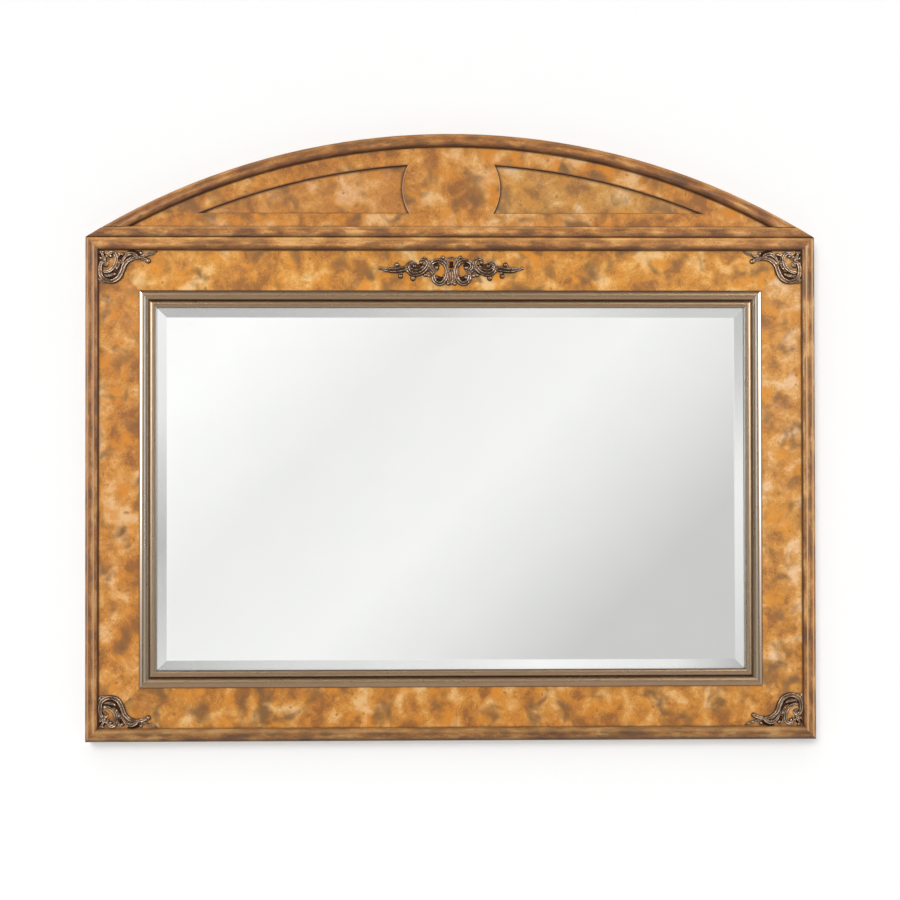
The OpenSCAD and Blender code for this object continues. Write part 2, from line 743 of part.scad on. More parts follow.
module strand(points, steps) {
    path = smooth(points, steps);
    last = len(path) - 1;
    n = len(section);
    rings = [for (i = [0 : last]) let (
            ahead = path[min(i + 1, last)],
            behind = path[max(i - 1, 0)],
            along = [ahead[0] - behind[0], ahead[1] - behind[1]],
            across = [along[1], -along[0]] / norm(along),
            half = path[i][2],
            tall = strand_tall(half))
        for (s = section)
            [path[i][0] + across[0] * half * s[0], path[i][1] + across[1] * half * s[0], tall * s[1]]];
    walls = [for (i = [0 : last - 1], j = [0 : n - 1]) let (
            a = i * n + j,
            b = i * n + (j + 1) % n)
        each [[a, b + n, b], [a, a + n, b + n]]];
    ends = [[for (j = [0 : n - 1]) j], [for (j = [n - 1 : -1 : 0]) last * n + j]];
    polyhedron(rings, concat(walls, ends));
}

// A dome in three steps: [share of the radius, share of the height, sides]
dome = [[1, 0.4, 9], [0.75, 0.8, 9], [0.3, 1, 3]];

module boss(b) {
    translate([b[0], b[1], 0]) hull()
        for (step = dome)
            cylinder(r = b[2] * step[0], h = boss_tall(b[2]) * step[1], $fn = step[2]);
}

// Round-headed pins sit in seats sunk in the casting
pin_seat = 3.2;
pin_head_r = 2 * pin_r;

module pin_seats(points) {
    for (p = points) translate([p[0], p[1], -over]) {
        cylinder(r = pin_r + clear, h = cast_h + 2 * over, $fn = 8);
        translate([0, 0, over + pin_seat]) cylinder(r = pin_head_r + clear, h = cast_h, $fn = 10);
    }
}

module corner_casting() {
    intersection() {
        difference() {
            union() {
                for (s = corner_strands) strand(s, strand_steps(s));
                for (b = corner_bosses) boss(b);
            }
            pin_seats(corner_pins);
        }
        translate([clear, clear, 0]) cube([rail_w, rail_w, 2 * cast_h]);
    }
}

module centre_casting() {
    difference() {
        both_ways() {
            for (s = centre_strands) strand(s, strand_steps(s));
            for (b = centre_bosses) boss(b);
        }
        pin_seats(centre_pins);
    }
}

// Places of the castings on the face
centre_z = frame_top - (bead_w + fillet_u) / 2;

module at_corner(sx, sz) {
    translate([0, 0, frame_mid]) mirror([sx > 0 ? 1 : 0, 0, 0]) mirror([0, 0, sz > 0 ? 1 : 0])
        translate([bead_w - frame_w / 2, -face, bead_w - frame_h / 2]) on_wall() children();
}

module at_centre() {
    translate([0, -face, centre_z]) on_wall() children();
}

module corner_ornament(sx, sz) {
    color("rosybrown") at_corner(sx, sz) corner_casting();
}

module ornament_centre() {
    color("rosybrown") at_centre() centre_casting();
}

module pins(points) {
    for (p = points) translate([p[0], p[1], pin_seat]) {
        rotate_extrude($fn = 32) intersection() {
            circle(pin_head_r);
            square(pin_head_r);
        }
        translate([0, 0, -pin_l]) cylinder(r = pin_r, h = pin_l, $fn = 32);
    }
}

module ornament_pins() {
    color("tan") {
        for (sx = [-1, 1], sz = [-1, 1]) at_corner(sx, sz) pins(corner_pins);
        at_centre() pins(centre_pins);
    }
}

module pin_holes(points) {
    for (p = points) translate([p[0], p[1], pin_seat - pin_l - fit])
        cylinder(r = pin_r + fit, h = pin_l, $fn = 32);
}

module ornament_pin_holes() {
    for (sx = [-1, 1], sz = [-1, 1]) at_corner(sx, sz) pin_holes(corner_pins);
    at_centre() pin_holes(centre_pins);
}

timber(TOP);  // top_rail
timber(BOTTOM);  // bottom_rail
timber(LEFT);  // left_stile
timber(RIGHT);  // right_stile
mitre_biscuits();
veneer(TOP);  // top_veneer
veneer(BOTTOM);  // bottom_veneer
veneer(LEFT);  // left_veneer
veneer(RIGHT);  // right_veneer
bead(TOP);  // top_bead
bead(BOTTOM);  // bottom_bead
bead(LEFT);  // left_bead
bead(RIGHT);  // right_bead
fillet(TOP);  // top_fillet
fillet(BOTTOM);  // bottom_fillet
fillet(LEFT);  // left_fillet
fillet(RIGHT);  // right_fillet
pediment_board();
pediment_veneer();
wing_panel(-1);  // left_wing_panel
wing_panel(1);  // right_wing_panel
arch_moulding();
pediment_foot_moulding();
pediment_dowels();
mirror_glass();
mirror_silvering();
glazing_pads();
packing_sheet();
backing_board();
turn_button(TOP, button_x);  // turn_button_top_left
turn_button(TOP, 0);  // turn_button_top_centre
turn_button(TOP, -button_x);  // turn_button_top_right
turn_button(BOTTOM, -button_x);  // turn_button_bottom_left
turn_button(BOTTOM, 0);  // turn_button_bottom_centre
turn_button(BOTTOM, button_x);  // turn_button_bottom_right
turn_button(LEFT, 0);  // turn_button_left
turn_button(RIGHT, 0);  // turn_button_right
turn_button_screws();
hanger_strap(-1);  // left_hanger_strap
hanger_strap(1);  // right_hanger_strap
hanger_ring(-1);  // left_hanger_ring
hanger_ring(1);  // right_hanger_ring
hanger_screws();
corner_braces();
corner_brace_screws();
mending_plate(-1);  // left_mending_plate
mending_plate(1);  // right_mending_plate
mending_plate_screws();
bumper(-1, 1);  // bumper_top_left
bumper(1, 1);  // bumper_top_right
bumper(-1, -1);  // bumper_bottom_left
bumper(1, -1);  // bumper_bottom_right
corner_ornament(-1, 1);  // ornament_top_left
corner_ornament(1, 1);  // ornament_top_right
corner_ornament(-1, -1);  // ornament_bottom_left
corner_ornament(1, -1);  // ornament_bottom_right
ornament_centre();
ornament_pins();
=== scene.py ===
"""The finish and the studio of an arched, burl-veneered wall mirror.

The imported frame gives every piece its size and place. This script gives each piece its material,
models the five cast ornaments in full, and builds the wall, the light and the camera.
"""

import functools
import math

import bmesh
import bpy
from mathutils import Matrix, Vector


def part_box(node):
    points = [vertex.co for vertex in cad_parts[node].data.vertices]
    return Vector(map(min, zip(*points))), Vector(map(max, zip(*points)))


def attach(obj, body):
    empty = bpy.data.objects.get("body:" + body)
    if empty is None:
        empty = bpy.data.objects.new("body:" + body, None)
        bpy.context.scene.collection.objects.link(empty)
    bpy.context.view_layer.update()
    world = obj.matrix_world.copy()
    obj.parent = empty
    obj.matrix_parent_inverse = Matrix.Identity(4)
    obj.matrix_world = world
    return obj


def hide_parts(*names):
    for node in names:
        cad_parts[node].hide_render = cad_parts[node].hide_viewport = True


bl_info = {
    "name": "Arched wall mirror",
    "version": (1, 0, 0),
    "blender": (4, 5, 0),
    "location": "3D View > Sidebar > Mirror",
    "description": "Finishes the packed frame of an arched wall mirror and sets up its studio",
    "category": "Object",
}

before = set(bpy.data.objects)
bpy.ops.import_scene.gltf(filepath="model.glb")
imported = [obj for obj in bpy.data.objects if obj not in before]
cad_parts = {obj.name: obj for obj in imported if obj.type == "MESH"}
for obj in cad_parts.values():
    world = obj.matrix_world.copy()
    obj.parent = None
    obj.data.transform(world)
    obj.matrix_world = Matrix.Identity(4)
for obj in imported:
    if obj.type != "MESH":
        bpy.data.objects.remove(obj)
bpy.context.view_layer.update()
MM = 0.001

# Places read from the frame
SILL_LOW, SILL_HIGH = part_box("bottom_bead")
HALF_WIDTH = SILL_HIGH.x
FRAME_BOTTOM = SILL_LOW.z
FRAME_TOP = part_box("top_bead")[1].z
FRAME_MIDDLE = (FRAME_BOTTOM + FRAME_TOP) / 2
HALF_HEIGHT = (FRAME_TOP - FRAME_BOTTOM) / 2
BEAD_WIDTH = SILL_HIGH.z - SILL_LOW.z
FILLET_EDGE = HALF_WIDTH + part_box("left_fillet")[0].x
FACE = -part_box("top_veneer")[0].y
BOARD_BACK = -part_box("top_rail")[1].y
ARCH_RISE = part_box("arch_moulding")[1].z - FRAME_TOP
ARCH_RADIUS = (HALF_WIDTH**2 + ARCH_RISE**2) / (2 * ARCH_RISE)
ARCH_CENTRE = FRAME_TOP + ARCH_RISE - ARCH_RADIUS
ORNAMENT_HEIGHT = (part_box("top_veneer")[0].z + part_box("top_veneer")[1].z) / 2
WING_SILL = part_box("left_wing_panel")[0].z

# Places within a piece, which the frame doesn't give: the glass's bevel, the curved rim above each
# wing panel, and the circle of the middle field between the two wing panels
BEVEL_WIDTH = 19 * MM
BEVEL_DROP = 2 * MM
WING_RIM = 44 * MM
ROUNDEL_RADIUS = 74 * MM
ROUNDEL_CENTRE = FRAME_TOP + 75 * MM

# The camera, where the photograph was taken from
SENSOR_WIDTH = 36
CAMERA_PLACE = (-0.0857, -3.2345, -0.1937)
CAMERA_YAW, CAMERA_PITCH, CAMERA_ROLL = (math.radians(turn) for turn in (1.487, 0.765, -0.091))


def colour(text):
    """A linear colour from an sRGB hex value."""
    parts = [int(text[i : i + 2], 16) / 255 for i in (0, 2, 4)]
    return tuple(c / 12.92 if c <= 0.04045 else ((c + 0.055) / 1.055) ** 2.4 for c in parts)


def colour_setting(name, description, text):
    return bpy.props.FloatVectorProperty(
        name=name, description=description, default=colour(text), subtype="COLOR", size=3, min=0, max=1
    )


def length_setting(name, description, millimetres):
    return bpy.props.FloatProperty(
        name=name, description=description, default=millimetres * MM, unit="LENGTH", min=0.1 * MM
    )


def share_setting(name, description, default, lowest=0, highest=1):
    return bpy.props.FloatProperty(
        name=name, description=description, default=default, min=lowest, max=highest
    )


class VeneerSettings(bpy.types.PropertyGroup):
    """Colours and figure of the burl veneer."""

    deep: colour_setting("Deep", "Darkest amber of the burl", "96602A")
    amber: colour_setting("Amber", "Amber of the burl", "BA7A36")
    gold: colour_setting("Gold", "Main golden tone", "C9883A")
    light: colour_setting("Light", "Light figure", "DCA058")
    cream: colour_setting("Cream", "Palest patches", "EDC29A")
    orange: colour_setting("Orange", "Orange islands of the burl", "DA8E2C")
    smudge: colour_setting("Smudge", "Grey-brown clouds in the stain", "7E5832")
    speck: colour_setting("Speck", "Pores and specks", "54300F")
    cloud: length_setting("Cloud size", "Size of the light and dark clouds", 40)
    lump: length_setting("Island size", "Size of the orange islands", 28)
    smudge_size: length_setting("Smudge size", "Size of the grey-brown clouds", 32)


class MouldingSettings(bpy.types.PropertyGroup):
    """Colours and figure of the stained mouldings."""

    # The dark colour is also painted shade in the pediment's steps
    dark: colour_setting("Dark", "Dark streaks in the stain, and painted shade at the pediment's steps", "6A421C")
    brown: colour_setting("Brown", "Main brown of the stain", "A06A32")
    tan: colour_setting("Tan", "Lighter streaks", "C08646")
    # The light colour also paints light on the upper part of the level and arched mouldings
    light: colour_setting("Light", "Rubbed, palest places, and painted light high on the level and arched mouldings", "DFAE70")
    # The groove colour is stain and painted shade in hollows, steps and joins, and round the castings
    groove: colour_setting("Groove", "Stain and painted shade in grooves, steps and recesses", "40220C")
    # The crest colour is a painted highlight along the uprights' crests and round the pediment's middle
    # field
    crest_highlight: colour_setting("Crest", "Painted highlight along the crests of the uprights and round the pediment's middle field", "DDB892")
    streak: length_setting("Streak width", "Width of a streak across the moulding", 4)
    streak_run: length_setting("Streak length", "Length of a streak along the moulding", 50)


class MetalSettings(bpy.types.PropertyGroup):
    """Colours of the leaf, the castings and the fittings."""

    leaf: colour_setting("Leaf", "Champagne silver leaf on the fillet", "A9957C")
    # Glazing and painted shade in the fillet's hollows; on the uprights one dark band is also a painted
    # reflection
    leaf_glaze_and_shade: colour_setting("Leaf in hollows", "Glaze and painted shade in the fillet's hollows", "4C3826")
    # A painted highlight: near-white bands along the upright fillets' crests
    leaf_highlight: colour_setting("Leaf highlight", "Painted highlight along the upright crests", "F4F4F2")
    pewter: colour_setting("Pewter", "Plating on the castings", "7B5E45")
    # Partly wear and partly painted glints on the castings' crests and bosses
    pewter_wear_and_glint: colour_setting("Pewter wear and glints", "Rubbed tops of the castings, with painted glints", "F4E8D8")
    # Patina and painted shade in the castings' recesses, and painted shade on their flanks
    pewter_dark: colour_setting("Pewter patina and shade", "Patina and painted shade in the castings' recesses and on their flanks", "341C10")
    zinc: colour_setting("Zinc", "Zinc plating on the steel fittings", "A7A9AC")
    brass: colour_setting("Brass", "Turn buttons", "B08D4A")


class CastingSettings(bpy.types.PropertyGroup):
    """Sizes of the ornaments' modelling."""

    grain: length_setting("Grain", "Voxel size at which the strands are fused", 0.45)
    strand_height: share_setting(
        "Strand height", "Height of a strand as a share of its half width", 1.45, 0.5, 2.5
    )
    ground_height: share_setting(
        "Ground height", "Height of the low ground as a share of its half width", 0.3, 0.1
    )
    groove: share_setting(
        "Groove", "Depth of the groove along a strand, as a share of its height", 0.32, 0, 0.8
    )


class StudioSettings(bpy.types.PropertyGroup):
    """The light and the camera."""

    key: share_setting("Key light", "Share of the light that comes from the key lamp", 0.62)
    overhead: share_setting(
        "Overhead light", "Share of the light that comes from the upper lamp", 0.24
    )
    ambient: share_setting("Ambient light", "Share of the light that comes from all round", 0.24)
    behind: share_setting("Back light", "Light on the mirror's back, which the wall hides", 0.6)
    glass_level: share_setting(
        "Glass level", "Brightness of the studio as the glass shows it", 1.08, 0, 2
    )
    softness: bpy.props.FloatProperty(
        name="Softness", description="Angle that the key lamp covers", default=math.radians(22),
        subtype="ANGLE",
    )
    lens: bpy.props.FloatProperty(
        name="Lens", description="Focal length on a 36 mm sensor, in millimetres", default=85, min=20
    )
    wall: colour_setting("Wall", "Wall behind the mirror", "D4D4D4")
    wall_glow: share_setting("Wall glow", "Paleness that the wall adds of its own", 0.31)
    floor: colour_setting("Floor", "Floor below the mirror", "C8C8C6")
    floor_glow: share_setting("Floor glow", "Paleness that the floor adds of its own", 0.5)


def node(tree, kind, *values, output=None, stops=(), inputs=None, **settings):
    """Adds a node and gives its first output in use, or the one that output names.

    After its settings, each value goes to the next input in use, and inputs names others. A
    socket is linked, and None leaves an input as it is.
    """
    made = tree.nodes.new("ShaderNode" + kind)
    for name, value in settings.items():
        setattr(made, name, value)
    pairs = list(zip([port for port in made.inputs if port.enabled], values))
    pairs += [(made.inputs[name], value) for name, value in (inputs or {}).items()]
    for port, value in pairs:
        if isinstance(value, bpy.types.NodeSocket):
            tree.links.new(value, port)
        elif value is not None:
            port.default_value = (*value, 1) if port.type == "RGBA" else value
    for _ in stops[2:]:
        made.color_ramp.elements.new(0.5)
    for place, (position, tone) in enumerate(stops):
        made.color_ramp.elements[place].position = position
        made.color_ramp.elements[place].color = (*tone, 1)
    if output:
        return made.outputs[output]
    return next((port for port in made.outputs if port.enabled), None)


SMOOTH = {"interpolation_type": "SMOOTHSTEP"}
COLOURS = {"data_type": "RGBA"}
TINT = {"data_type": "RGBA", "blend_type": "MULTIPLY"}


def new_material(name):
    """A material with an empty tree, and the function that adds nodes to it."""
    made = bpy.data.materials.new(name)
    made.use_nodes = True
    made.node_tree.nodes.clear()
    return made, functools.partial(node, made.node_tree)


def axes(add):
    """Object coordinates, whole and as x, y and z."""
    place = add("TexCoord", output="Object")
    return (place, *add("SeparateXYZ", place).node.outputs)


def from_edge(add, x, z):
    """Distance in from the rectangular frame's outer edge."""
    across = add("Math", HALF_WIDTH, add("Math", x, operation="ABSOLUTE"), operation="SUBTRACT")
    off = add("Math", z, FRAME_MIDDLE, operation="SUBTRACT")
    off = add("Math", off, operation="ABSOLUTE")
    up = add("Math", HALF_HEIGHT, off, operation="SUBTRACT")
    return add("Math", across, up, operation="MINIMUM")


def from_centre(add, x, z, centre):
    """Distance from a point on the object's middle line, at the height given."""
    flat = add("CombineXYZ", x, 0, add("Math", z, centre, operation="SUBTRACT"))
    return add("VectorMath", flat, operation="LENGTH", output="Value")


def line(add, distance, centre, reach, strength):
    """strength at the centre distance, and nothing beyond reach from it."""
    off = add("Math", distance, centre, operation="SUBTRACT")
    off = add("Math", off, operation="ABSOLUTE")
    return add("MapRange", off, 0, reach, strength, 0, **SMOOTH)


def recess(add, reach):
    """1 where other surfaces stand close by, 0 in the open: the mask for painted shade in hollows, with
    glazing and patina.
    """
    openness = add("AmbientOcclusion", inputs={"Distance": reach}, samples=6, output="AO")
    return add("MapRange", openness, 0.85, 0.35, **SMOOTH)


def burl_veneer(name, offset, turn, contrast, tint):
    """Burl veneer, stained amber, glazed and lacquered.

    The eye gets soft amber and tan clouds, orange islands, stippled cream patches, grey-brown
    smudges, dark specks and a satin lacquer. The glazing and painted contact shade are darkest
    against the mouldings and the castings.
    """
    burl = bpy.context.scene.mirror_veneer
    glaze_and_shade = bpy.context.scene.mirror_moulding.groove
    made, add = new_material(name)
    place, x, _, z = axes(add)
    sheet = add("Mapping", place, offset, (0, turn, 0))
    swirl = add("TexNoise", sheet, 1 / burl.cloud, 3, output="Color")
    push = 25 * MM
    pushed = add("VectorMath", swirl, (push, push, push), sheet, operation="MULTIPLY_ADD")

    # Clouds of amber and tan
    clouds = add("TexNoise", pushed, 1 / burl.cloud, 5, 0.6)
    grain = add("TexNoise", pushed, 1 / (2.2 * MM), 3, 0.7)
    tone = add("Math", grain, 0.3, clouds, operation="MULTIPLY_ADD")
    tone = add("Math", tone, 0.65, operation="SUBTRACT")
    tone = add("Math", tone, contrast, 0.585, operation="MULTIPLY_ADD")
    base = add("ValToRGB", tone,
               stops=[(0.4, burl.deep), (0.49, burl.amber), (0.57, burl.gold), (0.67, burl.light),
                      (0.8, burl.cream)])

    # Orange islands and stippled cream patches
    islands = add("TexNoise", pushed, 1 / burl.lump, 2, 0.5)
    islands = add("Math", grain, 0.2, islands, operation="MULTIPLY_ADD")
    islands = add("MapRange", islands, 0.59, 0.86, 0, 0.7 * contrast, **SMOOTH)
    stipple = add("TexVoronoi", pushed, 1 / (5 * MM), 1, 0.6)
    stipple = add("MapRange", stipple, 0.2, 0.55, 0.8, 0.1, **SMOOTH)
    patches = add("TexNoise", sheet, 1 / (34 * MM), 4, 0.6)
    patches = add("MapRange", patches, 0.56, 0.66, **SMOOTH)
    patches = add("Math", patches, stipple, operation="MULTIPLY")

    # Stain smudges, broken up at their edges
    smudges = add("TexNoise", sheet, 1 / burl.smudge_size, 3, 0.5, inputs={"Distortion": 0.4})
    smudges = add("Math", grain, 0.12, smudges, operation="MULTIPLY_ADD")
    smudges = add("MapRange", smudges, 0.56, 0.8, 0, 0.66 * contrast, **SMOOTH)

    # Eyes of the burl, specks, and pores drawn 1.6 mm across so that they show at this distance
    eyes = add("TexVoronoi", pushed, 1 / (21 * MM))
    eyes = add("MapRange", eyes, 0.05, 0.17, 0.7, 0, **SMOOTH)
    specks = add("TexVoronoi", pushed, 1 / (12 * MM))
    specks = add("MapRange", specks, 0.04, 0.1, 0.6, 0, **SMOOTH)
    pores = add("TexNoise", sheet, 1 / (1.6 * MM), 2, 0.8)
    pores = add("MapRange", pores, 0.6, 0.78, 0, 0.35, **SMOOTH)
    layers = ((islands, burl.orange), (patches, burl.cream), (smudges, burl.smudge),
              (eyes, burl.deep), (specks, burl.speck), (pores, burl.smudge))
    for cover, layer in layers:
        base = add("Mix", cover, base, layer, **COLOURS)
    base = add("Mix", 1, base, tint, **TINT)

    # Glazing and painted contact shade along the mouldings and round the castings: darker next to
    # the beads and the fillet, and wherever the castings stand close by
    inward = from_edge(add, x, z)
    edge = add("Math", line(add, inward, BEAD_WIDTH, 2.5 * MM, 0.6),
               line(add, inward, FILLET_EDGE, 1.8 * MM, 0.55), operation="MAXIMUM")
    close = add("Math", recess(add, 5 * MM), 0.9, operation="MULTIPLY")
    base = add("Mix", add("Math", edge, close, operation="MAXIMUM"), base, glaze_and_shade, **COLOURS)
    base = pediment_lines(add, name, x, z, base)

    add("OutputMaterial", add("BsdfPrincipled", inputs={
        "Base Color": base,
        "Roughness": add("MapRange", tone, 0.4, 0.8, 0.46, 0.36, **SMOOTH),
        "Normal": add("Bump", inputs={"Height": grain, "Distance": 0.05 * MM}),
        "Coat Weight": 0.12, "Coat Roughness": 0.25,
    }))
    return made


def pediment_lines(add, name, x, z, base):
    """Stain and painted shade in the steps of the pediment, and the middle field's edge rubbed pale,
    partly wear and partly painted highlight.
    """
    if "wing" not in name and "pediment" not in name:
        return base
    stain = bpy.context.scene.mirror_moulding
    from_arch = add("Math", ARCH_RADIUS, from_centre(add, x, z, ARCH_CENTRE), operation="SUBTRACT")
    from_roundel = from_centre(add, x, z, ROUNDEL_CENTRE)
    if "wing" in name:
        # Dark lines along the wing panel's rim, sill and round end: stain and painted shadow in the
        # sunk panel's steps
        steps = ((from_arch, WING_RIM, 6, 0.95, stain.groove), (z, WING_SILL, 2.2, 0.55, stain.dark),
                 (from_roundel, ROUNDEL_RADIUS, 5, 0.9, stain.groove))
        for distance, centre, reach, strength, tone in steps:
            step = line(add, distance, centre, reach * MM, strength)
            base = add("Mix", step, base, tone, **COLOURS)
        return base
    # A dark line under the arch moulding: stain and painted contact shade
    base = add("Mix", line(add, from_arch, BEAD_WIDTH, 3 * MM, 0.7), base, stain.groove, **COLOURS)
    beside_wings = add("Math", z, WING_SILL, operation="GREATER_THAN")
    under_rim = add("Math", from_arch, WING_RIM, operation="GREATER_THAN")
    outside_field = add("Math", from_roundel, ROUNDEL_RADIUS, operation="GREATER_THAN")
    # Beside the wings: a pale line round the middle field's edge, partly wear and partly painted
    # highlight, and a dark line under the rim, stain and painted shade
    worn_edge_and_highlight = line(add, from_roundel, ROUNDEL_RADIUS, 1.6 * MM, 0.6)
    rim = line(add, from_arch, WING_RIM, 3 * MM, 0.6)
    for step, there, tone in ((worn_edge_and_highlight, under_rim, stain.crest_highlight), (rim, outside_field, stain.dark)):
        step = add("Math", step, beside_wings, operation="MULTIPLY")
        step = add("Math", step, there, operation="MULTIPLY")
        base = add("Mix", step, base, tone, **COLOURS)
    return base


def stained_moulding(name, run, tint, lower_edge=0):
    """A beech moulding with a wiped, antiqued stain. run is "x", "z", "arch" or "foot".

    The eye gets long streaks of light and dark, soft grey-brown blotches, stain and painted
    shade in the hollows, painted shade along the lower edge and painted light along the upper part
    of the level and arched mouldings and, on the uprights, painted highlights along the crests.
    """
    stain = bpy.context.scene.mirror_moulding
    smudge = bpy.context.scene.mirror_veneer.smudge
    made, add = new_material(name)
    _, x, y, z = axes(add)
    if run == "arch":
        across = from_centre(add, x, z, ARCH_CENTRE)
        angle = add("Math", x, add("Math", z, ARCH_CENTRE, operation="SUBTRACT"), operation="ARCTAN2")
        along = add("Math", angle, ARCH_RADIUS, operation="MULTIPLY")
        inward = add("Math", ARCH_RADIUS, across, operation="SUBTRACT")
        above = add("Math", across, ARCH_RADIUS - BEAD_WIDTH, operation="SUBTRACT")
    else:
        along, across = (z, x) if run == "z" else (x, z)
        inward = from_edge(add, x, z)
        above = add("Math", z, lower_edge, operation="SUBTRACT")
    length = add("CombineXYZ", along, y, across)
    streaky = add("VectorMath", length, (stain.streak / stain.streak_run, 1, 1), operation="MULTIPLY")
    patchy = add("VectorMath", length, (0.38, 1, 1), operation="MULTIPLY")
    blotchy = add("VectorMath", length, (0.36, 1, 1), operation="MULTIPLY")

    streaks = add("TexNoise", streaky, 1 / stain.streak, 2, 0.5, inputs={"Distortion": 0.6})
    patches = add("TexNoise", patchy, 1 / (16 * MM), 4, 0.55)
    grain = add("TexNoise", length, 1 / (1.7 * MM), 3, 0.7)
    tone = add("Math", streaks, 0.15, add("Math", patches, 0.85, operation="MULTIPLY"),
               operation="MULTIPLY_ADD")
    tone = add("Math", grain, 0.34, tone, operation="MULTIPLY_ADD")
    tone = add("Math", tone, 0.09, operation="SUBTRACT")
    base = add("ValToRGB", tone,
               stops=[(0.44, stain.dark), (0.54, stain.brown), (0.62, stain.tan), (0.7, stain.light)])
    blotch = add("TexNoise", blotchy, 1 / (11 * MM), 3, 0.55)
    blotch = add("Math", grain, 0.2, blotch, operation="MULTIPLY_ADD")
    base = add("Mix", add("MapRange", blotch, 0.62, 0.76, 0, 0.8, **SMOOTH), base, smudge, **COLOURS)

    # Crests and hollows: distance in from the edge, reach, strength and colour, lengths in
    # millimetres. The pale lines on the uprights' crests are painted highlights; the dark lines are
    # stain and painted shade in the hollow and against the veneer, and darker along the outer edge.
    if run == "z":
        lines = [(3.7, 1.6, 0.8, stain.crest_highlight), (12.5, 1.8, 0.8, stain.crest_highlight),
                 (7.6, 2, 0.35, stain.groove), (BEAD_WIDTH / MM, 3, 0.9, stain.groove),
                 (0, 1.6, 0.6, stain.groove)]
    else:
        # Painted shade darkens the lower part of the moulding, and painted light makes its upper part
        # paler
        low = add("MapRange", above, 0.5 * MM, 9 * MM, 0.72, 0, **SMOOTH)
        base = add("Mix", low, base, stain.groove, **COLOURS)
        high = add("MapRange", above, 10 * MM, 15 * MM, 0, 0.25, **SMOOTH)
        base = add("Mix", high, base, stain.light, **COLOURS)
        lines = [] if run == "foot" else [(0, 1.4, 0.5, stain.groove)]
    for centre, reach, strength, tone_there in lines:
        crossed = line(add, inward, centre * MM, reach * MM, strength)
        base = add("Mix", crossed, base, tone_there, **COLOURS)
    base = add("Mix", 1, base, tint, **TINT)

    add("OutputMaterial", add("BsdfPrincipled", inputs={
        "Base Color": base,
        "Roughness": add("MapRange", tone, 0.4, 0.8, 0.5, 0.36, **SMOOTH),
        "Normal": add("Bump", inputs={"Height": grain, "Distance": 0.06 * MM}),
        "Coat Weight": 0.12, "Coat Roughness": 0.22,
    }))
    return made


def leafed_fillet(name, run, tint):
    """Silver leaf on a gesso ground under a champagne lacquer, with dark glazing and painted shade in
    the hollows.

    The eye gets a soft satin metal with fine lines along its length and, high on the uprights,
    near-white painted highlights along the crests with a painted dark reflection between them.
    """
    metal = bpy.context.scene.mirror_metal
    made, add = new_material(name)
    place, x, y, z = axes(add)
    along, across = (x, z) if run == "x" else (z, x)
    inward = from_edge(add, x, z)
    length = add("CombineXYZ", along, y, across)
    drawn = add("VectorMath", length, (0.02, 1, 1), operation="MULTIPLY")
    lines = add("TexNoise", drawn, 1 / (2.4 * MM), 1, 0.5)
    wear = add("TexNoise", place, 1 / (18 * MM), 4, 0.65)
    tone = add("Math", lines, 0.5, add("Math", wear, 0.5, operation="MULTIPLY"),
               operation="MULTIPLY_ADD")
    base = add("Mix", add("MapRange", tone, 0.62, 0.36, 0, 0.14, **SMOOTH), metal.leaf, metal.leaf_glaze_and_shade,
               **COLOURS)
    # Bands along the fillet: distance from its outer edge, reach, strength and leaf. The dark bands
    # are glazing and painted shade, one on the uprights also a painted dark reflection; the near-white
    # bands on the uprights are painted highlights.
    if run == "x":
        bands = [(0, 0.9, 0.8, metal.leaf_glaze_and_shade), (13.4, 1.4, 0.65, metal.leaf_glaze_and_shade),
                 (25.5, 1.2, 0.8, metal.leaf_glaze_and_shade)]
    else:
        bands = [(0, 0.7, 0.7, metal.leaf_glaze_and_shade), (2.6, 2.4, 0.9, metal.leaf_highlight),
                 (5.4, 1.6, 0.5, metal.leaf_glaze_and_shade), (8.4, 1.5, 0.85, metal.leaf_highlight),
                 (13.4, 0.7, 0.4, metal.leaf_glaze_and_shade), (25, 2.2, 0.6, metal.leaf_highlight)]
    # Painted highlight: the pale bands on the uprights grow from faint at the lower of these heights to
    # full at the upper one
    faint_height, full_height = FRAME_BOTTOM + 100 * MM, FRAME_BOTTOM + 550 * MM
    polish = add("MapRange", z, faint_height, full_height, 0.2, 1, **SMOOTH)
    for from_outside, reach, strength, leaf in bands:
        band = line(add, inward, FILLET_EDGE + from_outside * MM, reach * MM, strength)
        if leaf == metal.leaf_highlight:
            band = add("Math", band, polish, operation="MULTIPLY")
        base = add("Mix", band, base, leaf, **COLOURS)
    base = add("Mix", 1, base, tint, **TINT)
    add("OutputMaterial", add("BsdfPrincipled", inputs={
        "Base Color": base, "Metallic": 1,
        "Roughness": add("MapRange", tone, 0.35, 0.65, 0.31, 0.27, **SMOOTH),
        "Normal": add("Bump", inputs={"Height": lines, "Distance": 0.005 * MM}),
    }))
    return made


